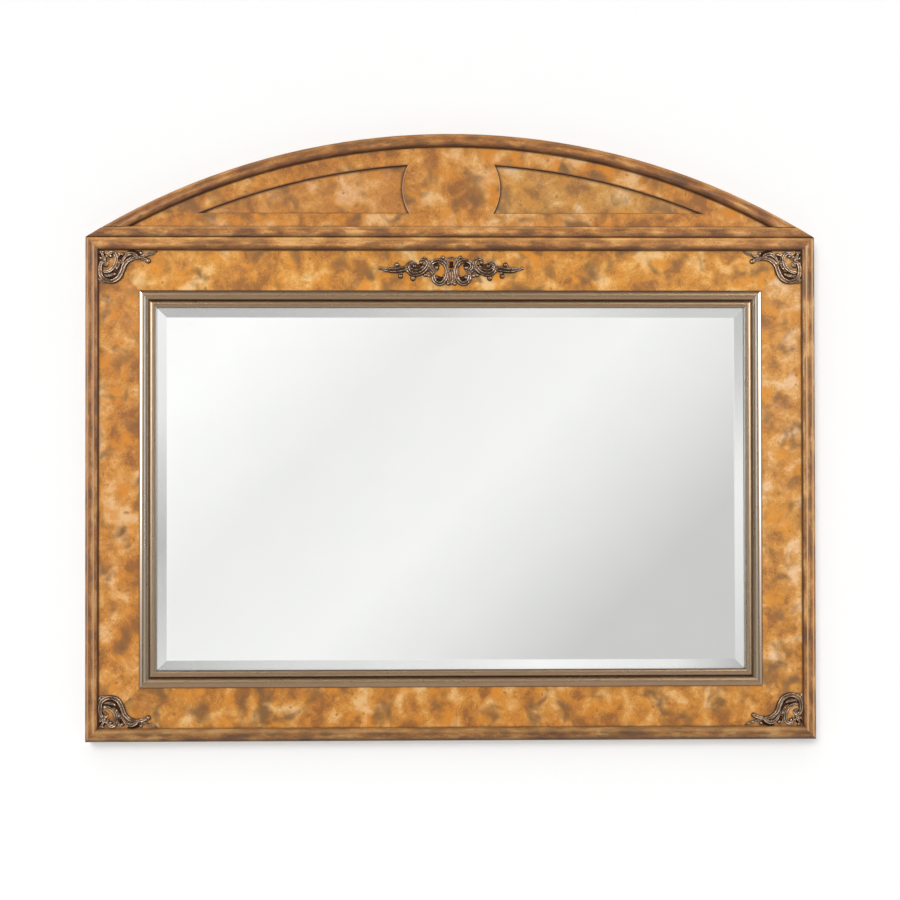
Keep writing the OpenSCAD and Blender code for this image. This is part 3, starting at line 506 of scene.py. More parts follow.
def antique_pewter(name, tint):
    """Cast zinc with a pewter plating, patinated brown.

    The eye gets near black recesses, patina and painted shade, brown flanks that darken as
    painted shade where they turn aside, and crests and bosses rubbed bright, partly wear and partly
    painted glints.
    """
    metal = bpy.context.scene.mirror_metal
    made, add = new_material(name)
    place, _, y, _ = axes(add)
    height = add("Math", y, -1, -FACE, operation="MULTIPLY_ADD")
    ridge = add("MapRange", add("NewGeometry", output="Pointiness"), 0.5, 0.57, **SMOOTH)
    rub = add("MapRange", add("TexNoise", place, 1 / (5 * MM), 4, 0.7), 0.35, 0.6, **SMOOTH)
    # Patina and painted shade where other surfaces crowd close, and where the relief is low
    open_place = add("Math", 1, recess(add, 2.6 * MM), operation="SUBTRACT")
    raised_open_and_lit = add("MapRange", height, 0.8 * MM, 2.8 * MM, **SMOOTH)
    raised_open_and_lit = add("Math", raised_open_and_lit, open_place, operation="MULTIPLY")
    # Painted shade: faces turned aside from the front take the dark colour
    outwards = add("SeparateXYZ", add("NewGeometry", output="Normal")).node.outputs[1]
    front_facing_light = add("MapRange", outwards, -0.3, -0.8, **SMOOTH)
    raised_open_and_lit = add("Math", raised_open_and_lit, front_facing_light, operation="MULTIPLY")
    plating = add("Mix", 1, metal.pewter, tint, **TINT)
    base = add("Mix", raised_open_and_lit, metal.pewter_dark, plating, **COLOURS)
    # Rubbed crests and bosses, partly wear and partly painted glints, only on open faces to the front
    bright = add("Math", ridge, rub, operation="MULTIPLY")
    bright = add("Math", bright, raised_open_and_lit, operation="MULTIPLY")
    base = add("Mix", bright, base, metal.pewter_wear_and_glint, **COLOURS)
    pits = add("TexNoise", place, 1 / (0.9 * MM), 2)
    add("OutputMaterial", add("BsdfPrincipled", inputs={
        "Base Color": base, "Metallic": 0.9,
        "Roughness": add("MapRange", raised_open_and_lit, 0, 1, 0.5, 0.2, **SMOOTH),
        "Normal": add("Bump", inputs={"Height": pits, "Distance": 0.03 * MM}),
    }))
    return made


def float_glass():
    """Clear float glass with a faint green cast, polished all over.

    The eye gets four bevels that part from the flat glass, each with a run of grey tones of its own: a
    painted reflection.
    """
    made, add = new_material("float_glass")
    place, x, _, z = axes(add)
    haze = add("TexNoise", place, 1 / (60 * MM), 2)
    clear = add("Mix", haze, colour("FDFEFD"), colour("FFFFFF"), **COLOURS)
    low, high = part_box("mirror_glass")
    # Along each bevel, from low to high: how far, and the painted reflection, the share of light that
    # the bevel is painted to send back
    bevels = (
        (add("Math", x, low.x, operation="SUBTRACT"), z, low.z, high.z,
         [(0, 0.86), (0.2, 0.66), (0.35, 0.55), (0.55, 0.74), (0.7, 0.95), (0.85, 1)]),
        (add("Math", high.x, x, operation="SUBTRACT"), z, low.z, high.z,
         [(0, 1), (0.5, 1), (0.65, 0.88), (0.8, 0.74), (1, 0.65)]),
        (add("Math", z, low.z, operation="SUBTRACT"), x, low.x, high.x,
         [(0, 0.46), (0.25, 0.8), (0.4, 0.88), (0.5, 0.87), (0.65, 1), (0.88, 1), (1, 0.64)]),
        (add("Math", high.z, z, operation="SUBTRACT"), x, low.x, high.x,
         [(0, 0.54), (0.35, 0.61), (0.48, 0.72), (0.6, 0.94), (0.7, 1)]),
    )
    nearest = BEVEL_WIDTH
    for depth, *_ in bevels:
        nearest = add("Math", depth, nearest, operation="MINIMUM")
    share = (1, 1, 1)
    for depth, along, start, end, painted_bevel_shades in bevels:
        grey = add("ValToRGB", add("MapRange", along, start, end),
                   stops=[(far, (light,) * 3) for far, light in painted_bevel_shades])
        inside = add("Math", depth, BEVEL_WIDTH, operation="LESS_THAN")
        here = add("Math", depth, nearest, 0.01 * MM, operation="COMPARE")
        here = add("Math", here, inside, operation="MULTIPLY")
        share = add("Mix", here, share, grey, **COLOURS)
    # Light crosses the glass four times on its way, and each time takes the root of this colour
    share = add("Gamma", share, 0.5)
    add("OutputMaterial", add("BsdfPrincipled", inputs={
        "Base Color": add("Mix", 1, clear, share, **TINT),
        "Transmission Weight": 1, "Roughness": 0, "IOR": 1.52,
    }))
    return made


def silvering():
    """A chemical silver layer: a near perfect reflector, with a trace of cloudiness."""
    made, add = new_material("silvering")
    haze = add("TexNoise", axes(add)[0], 1 / (90 * MM), 3)
    add("OutputMaterial", add("BsdfPrincipled", inputs={
        "Base Color": add("Mix", haze, colour("FAFAF9"), colour("FDFDFC"), **COLOURS),
        "Metallic": 1, "Roughness": 0,
    }))
    return made


def timber_core(name, stretch):
    """Planed tulipwood for the core: pale and straight-grained behind, stained on its edges."""
    stain = bpy.context.scene.mirror_moulding
    made, add = new_material(name)
    place, _, y, _ = axes(add)
    grained = add("VectorMath", place, stretch, operation="MULTIPLY")
    rings = add("TexNoise", grained, 1 / (7 * MM), 5, 0.6, inputs={"Distortion": 0.6})
    fine = add("TexNoise", grained, 1 / (1.2 * MM), 2, 0.7)
    tone = add("Math", fine, 0.3, rings, operation="MULTIPLY_ADD")
    raw = add("ValToRGB", tone,
              stops=[(0.45, colour("A98A5F")), (0.62, colour("C4A678")), (0.8, colour("D3BA8F"))])
    blotch = add("TexNoise", place, 1 / (22 * MM), 4, 0.6)
    blotch = add("MapRange", blotch, 0.4, 0.62, **SMOOTH)
    stained = add("Mix", blotch, stain.dark, stain.brown, **COLOURS)
    depth = add("Math", y, -1, operation="MULTIPLY")
    side = add("MapRange", depth, BOARD_BACK + 0.2 * MM, BOARD_BACK + 0.9 * MM, **SMOOTH)
    add("OutputMaterial", add("BsdfPrincipled", inputs={
        "Base Color": add("Mix", side, raw, stained, **COLOURS),
        "Roughness": 0.6,
        "Normal": add("Bump", inputs={"Height": tone, "Distance": 0.08 * MM}),
    }))
    return made


def plain_wood(name, dark, light, size):
    """Unfinished wood for what is let into the frame."""
    made, add = new_material(name)
    grained = add("VectorMath", axes(add)[0], (0.2, 1, 1), operation="MULTIPLY")
    tone = add("TexNoise", grained, 1 / size, 4, 0.65)
    add("OutputMaterial", add("BsdfPrincipled", inputs={
        "Base Color": add("Mix", add("MapRange", tone, 0.35, 0.65, **SMOOTH), colour(dark),
                          colour(light), **COLOURS),
        "Roughness": 0.65,
        "Normal": add("Bump", inputs={"Height": tone, "Distance": 0.05 * MM}),
    }))
    return made


def hardboard():
    """Tempered hardboard: dark brown pressed fibres with a faint screen pattern on its back."""
    made, add = new_material("hardboard")
    place = axes(add)[0]
    fibre = add("TexNoise", place, 1 / (4 * MM), 5, 0.75)
    cloud = add("TexNoise", place, 1 / (90 * MM), 3)
    tone = add("Math", fibre, 0.7, add("Math", cloud, 0.3, operation="MULTIPLY"),
               operation="MULTIPLY_ADD")
    mesh = add("TexVoronoi", place, 1 / (1.8 * MM), inputs={"Randomness": 0})
    rough = add("Math", fibre, 0.5, mesh, operation="MULTIPLY_ADD")
    add("OutputMaterial", add("BsdfPrincipled", inputs={
        "Base Color": add("ValToRGB", tone, stops=[
            (0.35, colour("5E4128")), (0.52, colour("7D5A39")), (0.7, colour("93704B"))]),
        "Roughness": 0.7,
        "Normal": add("Bump", inputs={"Height": rough, "Distance": 0.15 * MM}),
    }))
    return made


def plated_metal(name, tone, roughness):
    """Plated sheet and wire: a clean metal with faint cloudy spangle and fine scratches."""
    made, add = new_material(name)
    place = axes(add)[0]
    spangle = add("TexNoise", place, 1 / (6 * MM), 4, 0.7)
    spangle = add("MapRange", spangle, 0.35, 0.6, 0.6, 0, **SMOOTH)
    scratch = add("VectorMath", place, (0.08, 1, 1), operation="MULTIPLY")
    lines = add("TexNoise", scratch, 1 / (0.6 * MM), 2, 0.7)
    darker = tuple(0.62 * c for c in tone)
    add("OutputMaterial", add("BsdfPrincipled", inputs={
        "Base Color": add("Mix", spangle, tone, darker, **COLOURS), "Metallic": 1,
        "Roughness": add("MapRange", lines, 0.3, 0.7, roughness + 0.08, roughness - 0.04, **SMOOTH),
        "Normal": add("Bump", inputs={"Height": lines, "Distance": 0.005 * MM}),
    }))
    return made


def soft_polymer(name, text, roughness):
    """Moulded rubber: matt, with a fine grain."""
    made, add = new_material(name)
    place = axes(add)[0]
    grain = add("TexNoise", place, 1 / (0.8 * MM), 3, 0.6)
    dust = add("TexNoise", place, 1 / (7 * MM), 3)
    dust = add("MapRange", dust, 0.4, 0.7, 0, 0.35, **SMOOTH)
    add("OutputMaterial", add("BsdfPrincipled", inputs={
        "Base Color": add("Mix", dust, colour(text), colour("6A6764"), **COLOURS),
        "Roughness": roughness,
        "Normal": add("Bump", inputs={"Height": grain, "Distance": 0.05 * MM}),
    }))
    return made


def kraft_paper():
    """Grey-brown packing sheet with loose fibres."""
    made, add = new_material("packing_board")
    fibre = add("TexNoise", axes(add)[0], 1 / (2 * MM), 4, 0.8)
    fibre = add("MapRange", fibre, 0.4, 0.6, **SMOOTH)
    add("OutputMaterial", add("BsdfPrincipled", inputs={
        "Base Color": add("Mix", fibre, colour("A98F6B"), colour("C2AA86"), **COLOURS),
        "Roughness": 0.85,
    }))
    return made


def dress(material, *names):
    """Gives the material to these nodes of the frame."""
    for name in names:
        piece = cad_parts[name]
        piece.data.materials.clear()
        piece.data.materials.append(material)


def finished(piece, body, slot, *replaced):
    """A new piece rides on its body and stands for the nodes it replaces; slot is not used."""
    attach(piece, body)
    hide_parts(*replaced)


class MIRROR_OT_timber(bpy.types.Operator):
    """Finish the core of the frame and the pediment"""

    bl_idname = "mirror.timber"
    bl_label = "Timber core"

    def execute(self, context):
        dress(timber_core("tulipwood_rails", (0.06, 1, 1)), "top_rail", "bottom_rail",
              "pediment_board")
        dress(timber_core("tulipwood_stiles", (1, 1, 0.06)), "left_stile", "right_stile")
        dress(plain_wood("beech", "BF9563", "D9B583", 3 * MM), "mitre_biscuits", "pediment_dowels")
        return {"FINISHED"}


class MIRROR_OT_veneer(bpy.types.Operator):
    """Lay the burl veneer, each sheet cut from another place of the flitch"""

    bl_idname = "mirror.veneer"
    bl_label = "Burl veneer"

    def execute(self, context):
        # Each sheet's place in the flitch, its turn there, its contrast and its tint, which is partly
        # the sheet's own tone and partly painted shade, darkest on the bottom sheet
        sheets = {
            "top_veneer": ((0.31, 0, 0.12), 0.2, 1.45, (0.98, 0.95, 0.66)),
            "bottom_veneer": ((1.27, 0.3, 0.4), 0.1, 1.45, (0.85, 0.79, 0.54)),
            "left_veneer": ((2.14, 0.6, 0.9), 1.3, 1.45, (0.89, 0.82, 0.62)),
            "right_veneer": ((3.4, 0.9, 1.6), 1.7, 1.45, (0.94, 0.95, 0.88)),
            "pediment_veneer": ((4.2, 1.2, 2.3), 0.5, 1.4, (0.86, 0.8, 0.6)),
            "left_wing_panel": ((5.3, 1.5, 2.9), 0.8, 1.1, (0.86, 0.82, 0.75)),
            "right_wing_panel": ((6.1, 1.8, 3.7), 2.4, 1.1, (0.86, 0.94, 1)),
        }
        for name, sheet in sheets.items():
            dress(burl_veneer("burl_" + name, *sheet), name)
        return {"FINISHED"}


class MIRROR_OT_mouldings(bpy.types.Operator):
    """Stain the beads, the arch moulding and the pediment's foot moulding"""

    bl_idname = "mirror.mouldings"
    bl_label = "Stained mouldings"

    def execute(self, context):
        # Each moulding's piece, its run, its tint and its lower edge. The tint is partly the stain's
        # warm tone and partly painted shade, darkest on the bottom bead.
        mouldings = {
            "top": ("top_bead", "x", (0.95, 0.88, 0.73), FRAME_TOP - BEAD_WIDTH),
            "bottom": ("bottom_bead", "x", (0.57, 0.54, 0.44), FRAME_BOTTOM),
            "left": ("left_bead", "z", (0.68, 0.61, 0.54)),
            "right": ("right_bead", "z", (0.83, 0.8, 0.71)),
            "arch": ("arch_moulding", "arch", (0.69, 0.57, 0.38)),
            "foot": ("pediment_foot_moulding", "foot", (0.93, 0.87, 0.73), FRAME_TOP),
        }
        for place, (name, *finish) in mouldings.items():
            dress(stained_moulding("stained_beech_" + place, *finish), name)
        return {"FINISHED"}


class MIRROR_OT_fillet(bpy.types.Operator):
    """Leaf the fillet round the glass"""

    bl_idname = "mirror.fillet"
    bl_label = "Leafed fillet"

    def execute(self, context):
        level = leafed_fillet("silver_leaf_level", "x", (0.8, 0.71, 0.65))
        upright = leafed_fillet("silver_leaf_upright", "z", (0.95, 0.94, 0.94))
        dress(level, "top_fillet", "bottom_fillet")
        dress(upright, "left_fillet", "right_fillet")
        return {"FINISHED"}


class MIRROR_OT_glass(bpy.types.Operator):
    """Grind and polish the glass, and silver its back"""

    bl_idname = "mirror.glass"
    bl_label = "Mirror glass"

    def execute(self, context):
        low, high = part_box("mirror_glass")
        middle = (low + high) / 2
        # A trace of air behind the glass keeps its back face clear of the silvering
        air = 0.02 * MM
        arris = 0.25 * MM
        sheet = bmesh.new()
        bmesh.ops.create_cube(sheet, size=1)
        bmesh.ops.scale(sheet, vec=high - low - Vector((0, air, 0)), verts=sheet.verts)
        bmesh.ops.translate(sheet, vec=middle - Vector((0, air / 2, 0)), verts=sheet.verts)
        front = [face for face in sheet.faces if face.normal.y < -0.9]
        bmesh.ops.inset_region(sheet, faces=front, thickness=BEVEL_WIDTH, use_even_offset=True)
        rim = [corner for corner in sheet.verts if corner.co.y < middle.y
               and min(abs(corner.co.x - low.x), abs(corner.co.x - high.x)) < MM]
        bmesh.ops.translate(sheet, vec=(0, BEVEL_DROP, 0), verts=rim)
        long_edges = [edge for edge in sheet.edges if edge.calc_length() > 10 * MM]
        bmesh.ops.bevel(sheet, geom=long_edges, offset=arris, segments=2, profile=0.5,
                        affect="EDGES", material=-1)
        bmesh.ops.recalc_face_normals(sheet, faces=sheet.faces)
        piece = object_from(sheet, "mirror_plate", float_glass())
        finished(piece, "mirror", "mirror_glass", "mirror_glass")
        dress(silvering(), "mirror_silvering")
        return {"FINISHED"}


def object_from(shape, name, material=None):
    """A new object of this mesh, at the origin."""
    mesh = bpy.data.meshes.new(name)
    shape.to_mesh(mesh)
    shape.free()
    if material:
        mesh.materials.append(material)
    piece = bpy.data.objects.new(name, mesh)
    bpy.context.scene.collection.objects.link(piece)
    return piece


class MIRROR_OT_backing(bpy.types.Operator):
    """Finish what lies behind the glass"""

    bl_idname = "mirror.backing"
    bl_label = "Backing"

    def execute(self, context):
        dress(hardboard(), "backing_board")
        dress(kraft_paper(), "packing_sheet")
        dress(soft_polymer("black_rubber", "2B2A29", 0.75), "glazing_pads", "bumper_top_left",
              "bumper_top_right", "bumper_bottom_left", "bumper_bottom_right")
        return {"FINISHED"}


class MIRROR_OT_fittings(bpy.types.Operator):
    """Plate the hangers, braces, plates, screws and turn buttons"""

    bl_idname = "mirror.fittings"
    bl_label = "Fittings"

    def execute(self, context):
        metal = context.scene.mirror_metal
        screws = "turn_button_screws"
        steel = [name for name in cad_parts
                 if "hanger" in name or "brace" in name or "mending" in name]
        buttons = [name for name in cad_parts
                   if name.startswith("turn_button_") and name != screws]
        dress(plated_metal("zinc_plated_steel", metal.zinc, 0.34), screws, *steel)
        dress(plated_metal("brass_sheet", metal.brass, 0.32), *buttons)
        blackened = tuple((a + b) / 2 for a, b in zip(metal.pewter, metal.pewter_dark))
        dress(plated_metal("blackened_pins", blackened, 0.4), "ornament_pins")
        return {"FINISHED"}


# Ornaments: double-ridged strands along smooth curves, and domed bosses, fused in one casting.
# Each strand lists (x, y, half width) at its turning points, in millimetres.
# Corner casting: x along the rail, y along the stile, from the bead's inner corner
CORNER_STRANDS = [
    [(12, 25, 1.3), (13.3, 21, 2), (9.2, 17.8, 2.5), (4.2, 21, 2.9), (2.6, 30, 3.4), (4.5, 40, 3.6),
     (12, 46, 3.6), (21.5, 47, 3.6), (30, 42.5, 3.8), (35.5, 33, 3.8), (39, 23, 3.6),
     (45.5, 16, 3.1), (54, 12.5, 2.9), (63, 12.5, 2.7), (70, 14.5, 2.7), (75, 17, 2.2)],
    [(5, 30.5, 1.3), (9, 33, 2), (15.5, 32.2, 2.5), (22, 27.6, 2.9), (26, 20.5, 3.1),
     (27, 12.5, 3.1), (24.5, 6, 2.9), (19.5, 4.2, 2.7), (14.8, 6.4, 2.2), (13.4, 11, 1.8),
     (16.5, 14, 1.3)],
    [(34.5, 22, 1.6), (38, 13.5, 2.2), (44, 7.2, 3.1), (50, 6, 3.4), (55.5, 8, 2.9), (60.5, 11.6, 2.2),
     (65.5, 10.4, 2), (67, 6, 1.8)],
    [(68, 10, 1.6), (74, 6.6, 2.1), (81, 5.6, 2), (88, 1.6, 1)],
    [(5.5, 38, 1.3), (13, 39.3, 1.8), (20, 38, 2), (24, 36.5, 1.8)],
    [(29, 13, 1.3), (30.5, 7.5, 2), (34, 5.6, 2.2)],
    [(1.2, 16.2, 1.1), (6, 12.6, 1.8), (11.4, 16.6, 1.6)],
    [(3.6, 2.4, 1.6), (6.8, 8.8, 2), (10.6, 13.6, 1.6)],
    [(27, 30, 1.6), (30.5, 22.5, 1.8), (32.4, 15, 1.6)],
    [(58, 11, 1.8), (66, 10, 1.6), (74, 9.4, 1.3)],
    [(3, 46.5, 1.6), (8.6, 46.2, 1.8), (12.5, 44, 1.6)],
    [(1.4, 36, 1.8), (1.8, 43, 2.2), (3, 47, 2.4), (10, 48, 2)],
]
# Low ground between the strands, where the casting isn't pierced
CORNER_GROUND = [
    [(5, 38, 5), (14, 39, 5), (24, 37, 5), (31, 31, 4), (33.5, 22, 3.4), (35, 12, 3.4), (38, 5, 3)],
    [(2, 4, 4), (8, 9, 4), (13, 13, 3)],
    [(2, 26, 3), (3, 34, 4)],
    [(44, 4, 3), (52, 3, 3), (62, 6, 3)],
]
# Bosses: (x, y, radius)
CORNER_BOSSES = [
    (10, 23.2, 3.2), (74.6, 16.6, 3.9), (18.4, 9.4, 2.7), (63.6, 4.6, 2.8), (24.8, 36.4, 2.9),
    (36, 6.6, 3), (6.4, 2.8, 2.4), (3.4, 45, 3), (8.6, 46.4, 2.7), (4.6, 40.6, 2.8), (27.6, 27.6, 2.5),
    (31, 19.6, 2.4), (12.6, 9.6, 2.8), (14.8, 5, 2.2), (9.6, 14.4, 2.4), (3, 12, 2.2),
]

# Centre casting: left half, from its middle
CENTRE_STRANDS = [
    [(-107.6, 3.2, 1.6), (-100, 1.6, 2.6), (-92, 0.4, 3.8), (-84, 0.6, 4.2), (-76.5, 1.6, 4.2),
     (-68.3, 3.4, 3.6), (-63, 7.6, 2.7)],
    [(-69.4, 3, 2.2), (-75.5, -2.6, 2), (-77.5, -7, 2)],
    [(-84.2, 3, 2.5), (-82.2, 8, 2.5)],
    [(-52.6, 9.4, 1.3), (-55.6, 12.2, 2), (-61.2, 12.2, 2.7), (-65.9, 7.6, 3.1), (-66.1, 1.6, 3.4),
     (-61.7, -3.8, 3.6), (-54.6, -5.8, 3.6), (-45.9, -3.6, 3.6), (-38.8, 2, 3.4), (-35.1, 9.4, 3.1),
     (-37.1, 15.6, 2.9), (-42.4, 18, 2.5), (-46.9, 15.6, 1.8), (-46.5, 12, 1.3)],
    [(-58.3, -4.4, 2.2), (-58.1, -10, 2.5)],
    [(-42.8, 0, 1.8), (-36.3, 2.4, 2.2), (-30.2, -1.2, 2.5), (-27.3, -5.4, 2.2)],
    [(-41.3, -2.6, 1.8), (-39.2, -6, 2), (-33, -7.6, 1.8), (-28.2, -6, 1.8)],
    [(-20.9, 2.6, 1.6), (-25.7, -0.2, 2.5), (-30.6, 4.6, 2.9), (-29, 11, 3.1), (-21.9, 14.6, 3.4),
     (-14.1, 13, 3.4), (-8.4, 6.6, 3.1), (-6.5, -1.6, 2.9), (-8.4, -11.6, 3.1), (-13.3, -18.2, 3.4),
     (-19.6, -19.6, 3.4), (-25.9, -15.2, 3.1), (-27.9, -7.4, 2.7)],
    [(-27.9, -8, 1.8), (-24.5, -12.6, 2), (-21.8, -10.4, 1.8)],
    [(0, 19.8, 1.7), (-5.2, 17, 1.8), (-6.6, 10, 1.8), (-4.6, 2.5, 1.9), (-3.5, -8, 2.4),
     (-3.9, -18, 2.5)],
    [(-6.1, 12.4, 1.8), (-9.2, 16.6, 2.2), (-12.9, 19.8, 2.2)],
    [(0, 3, 1.3), (0, -5, 1.8), (0, -14, 2.2)],
    [(-62.5, 5, 1.6), (-59, 1, 2.2), (-53, -0.2, 2.4), (-46.5, 1.4, 2.4), (-41.6, 6.4, 2)],
    [(-8.6, -12, 2), (-5.5, -15.4, 2.5), (-1, -17.6, 2.5)],
]
CENTRE_GROUND = [
    [(-66, 4, 4), (-58, 2, 6), (-50, 4, 6), (-42, 6, 4)],
    [(-43, 6, 4), (-36, 3, 5), (-30, 4, 4)],
    [(0, 14, 3.4), (0, 4, 3)],
    [(-22, -12, 5), (-14, -14, 4)],
    [(-24, 6, 5), (-20, 10, 4)],
]
CENTRE_BOSSES = [
    (-82.1, 8.4, 3.9), (-76.6, -8.6, 3.8), (-55.9, 6.6, 3.3), (-45.3, 12, 3), (-58.1, -11.8, 4.1),
    (-39.4, -6.8, 2.9), (-33.5, -8.2, 2.4), (-22.4, 4, 3.8), (-22, -10.8, 3.4), (-107.4, 3.4, 2.6),
    (-93.5, 1.4, 3.3), (-11.8, -8.6, 2.2), (-13.1, 19.6, 3.1), (-4.7, -20, 2.9), (0, -18.6, 2.6),
]
# The tallest boss, in millimetres, and the steps from one turning point to the next
CAST_HEIGHT = 5
CURVE_STEPS = 8


def smooth_points(points):
    """Points along the Catmull-Rom curve through the turning points."""
    last = len(points) - 1
    curve = []
    for i in range(last):
        a, b, c, d = (Vector(points[k]) for k in (max(i - 1, 0), i, i + 1, min(i + 2, last)))
        for step in range(CURVE_STEPS):
            t = step / CURVE_STEPS
            curve.append(b + (c - a) * t / 2 + (a * 2 - b * 5 + c * 4 - d) * t * t / 2
                         + (b * 3 - a - c * 3 + d) * t**3 / 2)
    return curve + [Vector(points[last])]


def section_curve(half_outline, height):
    """A strand's section, from its left half: x and z as shares of half width and height."""
    data = bpy.data.curves.new("strand_section", "CURVE")
    data.dimensions = "2D"
    outline = half_outline + [(-x, z) for x, z in reversed(half_outline[:-1])]
    spline = data.splines.new("POLY")
    spline.points.add(len(outline) - 1)
    for point, (x, z) in zip(spline.points, outline):
        point.co = (x * MM, z * height * MM, 0, 1)
    spline.use_cyclic_u = True
    section = bpy.data.objects.new("strand_section", data)
    bpy.context.scene.collection.objects.link(section)
    return section


def strand_mesh(strands, section):
    """One mesh of all the strands, each swept along its smooth curve."""
    data = bpy.data.curves.new("strands", "CURVE")
    data.dimensions = "3D"
    data.twist_mode = "Z_UP"
    data.bevel_mode = "OBJECT"
    data.bevel_object = section
    data.use_fill_caps = True
    for strand in strands:
        path = smooth_points(strand)
        spline = data.splines.new("POLY")
        spline.points.add(len(path) - 1)
        for point, (x, y, half) in zip(spline.points, path):
            point.co = (x * MM, y * MM, 0, 1)
            point.radius = max(half, 0.5)
    swept = bpy.data.objects.new("strands", data)
    bpy.context.scene.collection.objects.link(swept)
    bpy.context.view_layer.update()
    evaluated = swept.evaluated_get(bpy.context.evaluated_depsgraph_get())
    mesh = bpy.data.meshes.new_from_object(evaluated)
    bpy.data.objects.remove(swept)
    return mesh


def add_bosses(shape, bosses):
    """Domed bosses, as round as they are wide."""
    for x, y, radius in bosses:
        height = min(CAST_HEIGHT, 1 + radius)
        scale = Matrix.Diagonal((radius * MM, radius * MM, height * MM, 1))
        bmesh.ops.create_uvsphere(
            shape, u_segments=24, v_segments=12, radius=1,
            matrix=Matrix.Translation((x * MM, y * MM, 0)) @ scale,
        )


def fuse(shape, grain):
    """Fuses overlapping closed shapes into one skin."""
    rough = object_from(shape, "rough_casting")
    remesh = rough.modifiers.new("Fuse", "REMESH")
    remesh.mode = "VOXEL"
    remesh.voxel_size = grain
    bpy.context.view_layer.update()
    evaluated = rough.evaluated_get(bpy.context.evaluated_depsgraph_get())
    mesh = bpy.data.meshes.new_from_object(evaluated)
    fused = bmesh.new()
    fused.from_mesh(mesh)
    bpy.data.meshes.remove(mesh)
    bpy.data.objects.remove(rough)
    return fused


def cut_flat(shape, point, direction):
    """Takes off what lies past a plane and closes the cut."""
    cut = bmesh.ops.bisect_plane(
        shape, geom=shape.verts[:] + shape.edges[:] + shape.faces[:], dist=1e-7,
        plane_co=point, plane_no=direction, clear_outer=True,
    )
    edges = [part for part in cut["geom_cut"] if isinstance(part, bmesh.types.BMEdge)]
    bmesh.ops.triangle_fill(shape, edges=edges, use_beauty=True, normal=direction)


def casting(strands, ground, bosses, corner):
    """The casting as a mesh, flat on z = 0, with x and y as in its lists.

    A corner casting is cut flat where it meets the beads, and the centre casting is mirrored.
    """
    modelling = bpy.context.scene.mirror_casting
    # Left halves of the sections, which the shares of half width and height stretch
    ridged = [(-1, -0.3), (-0.96, 0.5), (-0.72, 0.93), (-0.46, 0.97),
              (-0.2, 1 - modelling.groove * 0.8), (0, 1 - modelling.groove)]
    flat = [(-1, -0.3), (-0.9, 0.6), (-0.5, 0.9), (0, 1)]
    shape = bmesh.new()
    layers = ((strands, ridged, modelling.strand_height), (ground, flat, modelling.ground_height))
    for paths, outline, height in layers:
        section = section_curve(outline, height)
        mesh = strand_mesh(paths, section)
        shape.from_mesh(mesh)
        bpy.data.meshes.remove(mesh)
        bpy.data.objects.remove(section)
    add_bosses(shape, bosses)
    if not corner:
        bmesh.ops.mirror(shape, geom=shape.verts[:] + shape.edges[:] + shape.faces[:],
                         axis="X", merge_dist=-1)
    bmesh.ops.recalc_face_normals(shape, faces=shape.faces)
    fused = fuse(shape, modelling.grain)
    for _ in range(2):
        bmesh.ops.smooth_vert(fused, verts=fused.verts, factor=0.5, use_axis_x=True,
                              use_axis_y=True, use_axis_z=True)
    cut_flat(fused, (0, 0, 0), (0, 0, -1))
    if corner:
        gap = 0.2 * MM
        cut_flat(fused, (gap, 0, 0), (-1, 0, 0))
        cut_flat(fused, (0, gap, 0), (0, -1, 0))
    bmesh.ops.recalc_face_normals(fused, faces=fused.faces)
    for face in fused.faces:
        face.smooth = True
    return fused


# Turns a casting upright, with its face to the front
STAND_UP = Matrix(((1, 0, 0, 0), (0, 0, -1, 0), (0, 1, 0, 0), (0, 0, 0, 1)))


class MIRROR_OT_corner_ornaments(bpy.types.Operator):
    """Cast the corner ornament and fix it in all four corners, mirrored"""

    bl_idname = "mirror.corner_ornaments"
    bl_label = "Corner ornaments"

    def execute(self, context):
        shape = casting(CORNER_STRANDS, CORNER_GROUND, CORNER_BOSSES, corner=True)
        pattern = bpy.data.meshes.new("corner_pattern")
        shape.to_mesh(pattern)
        shape.free()
        pewter = antique_pewter("antique_pewter_corners", (1, 0.96, 0.88))
        corners = {"top_left": (1, -1), "top_right": (-1, -1), "bottom_left": (1, 1),
                   "bottom_right": (-1, 1)}
        for name, (along, up) in corners.items():
            copy = bmesh.new()
            copy.from_mesh(pattern)
            inner = Vector((along * (BEAD_WIDTH - HALF_WIDTH), -FACE,
                            FRAME_MIDDLE + up * (BEAD_WIDTH - HALF_HEIGHT)))
            flip = Matrix.Diagonal((along, 1, up, 1))
            copy.transform(Matrix.Translation(inner) @ flip @ STAND_UP)
            if along * up < 0:
                bmesh.ops.reverse_faces(copy, faces=copy.faces)
            piece = object_from(copy, "cast_corner_" + name, pewter)
            finished(piece, "mirror", "cast_ornament", "ornament_" + name)
        bpy.data.meshes.remove(pattern)
        return {"FINISHED"}


class MIRROR_OT_centre_ornament(bpy.types.Operator):
    """Cast the centre ornament and fix it to the top rail"""

    bl_idname = "mirror.centre_ornament"
    bl_label = "Centre ornament"

    def execute(self, context):
        shape = casting(CENTRE_STRANDS, CENTRE_GROUND, CENTRE_BOSSES, corner=False)
        shape.transform(Matrix.Translation((0, -FACE, ORNAMENT_HEIGHT)) @ STAND_UP)
        pewter = antique_pewter("antique_pewter_centre", (0.56, 0.46, 0.36))
        piece = object_from(shape, "cast_centre", pewter)
        finished(piece, "mirror", "cast_ornament", "ornament_centre")
        return {"FINISHED"}


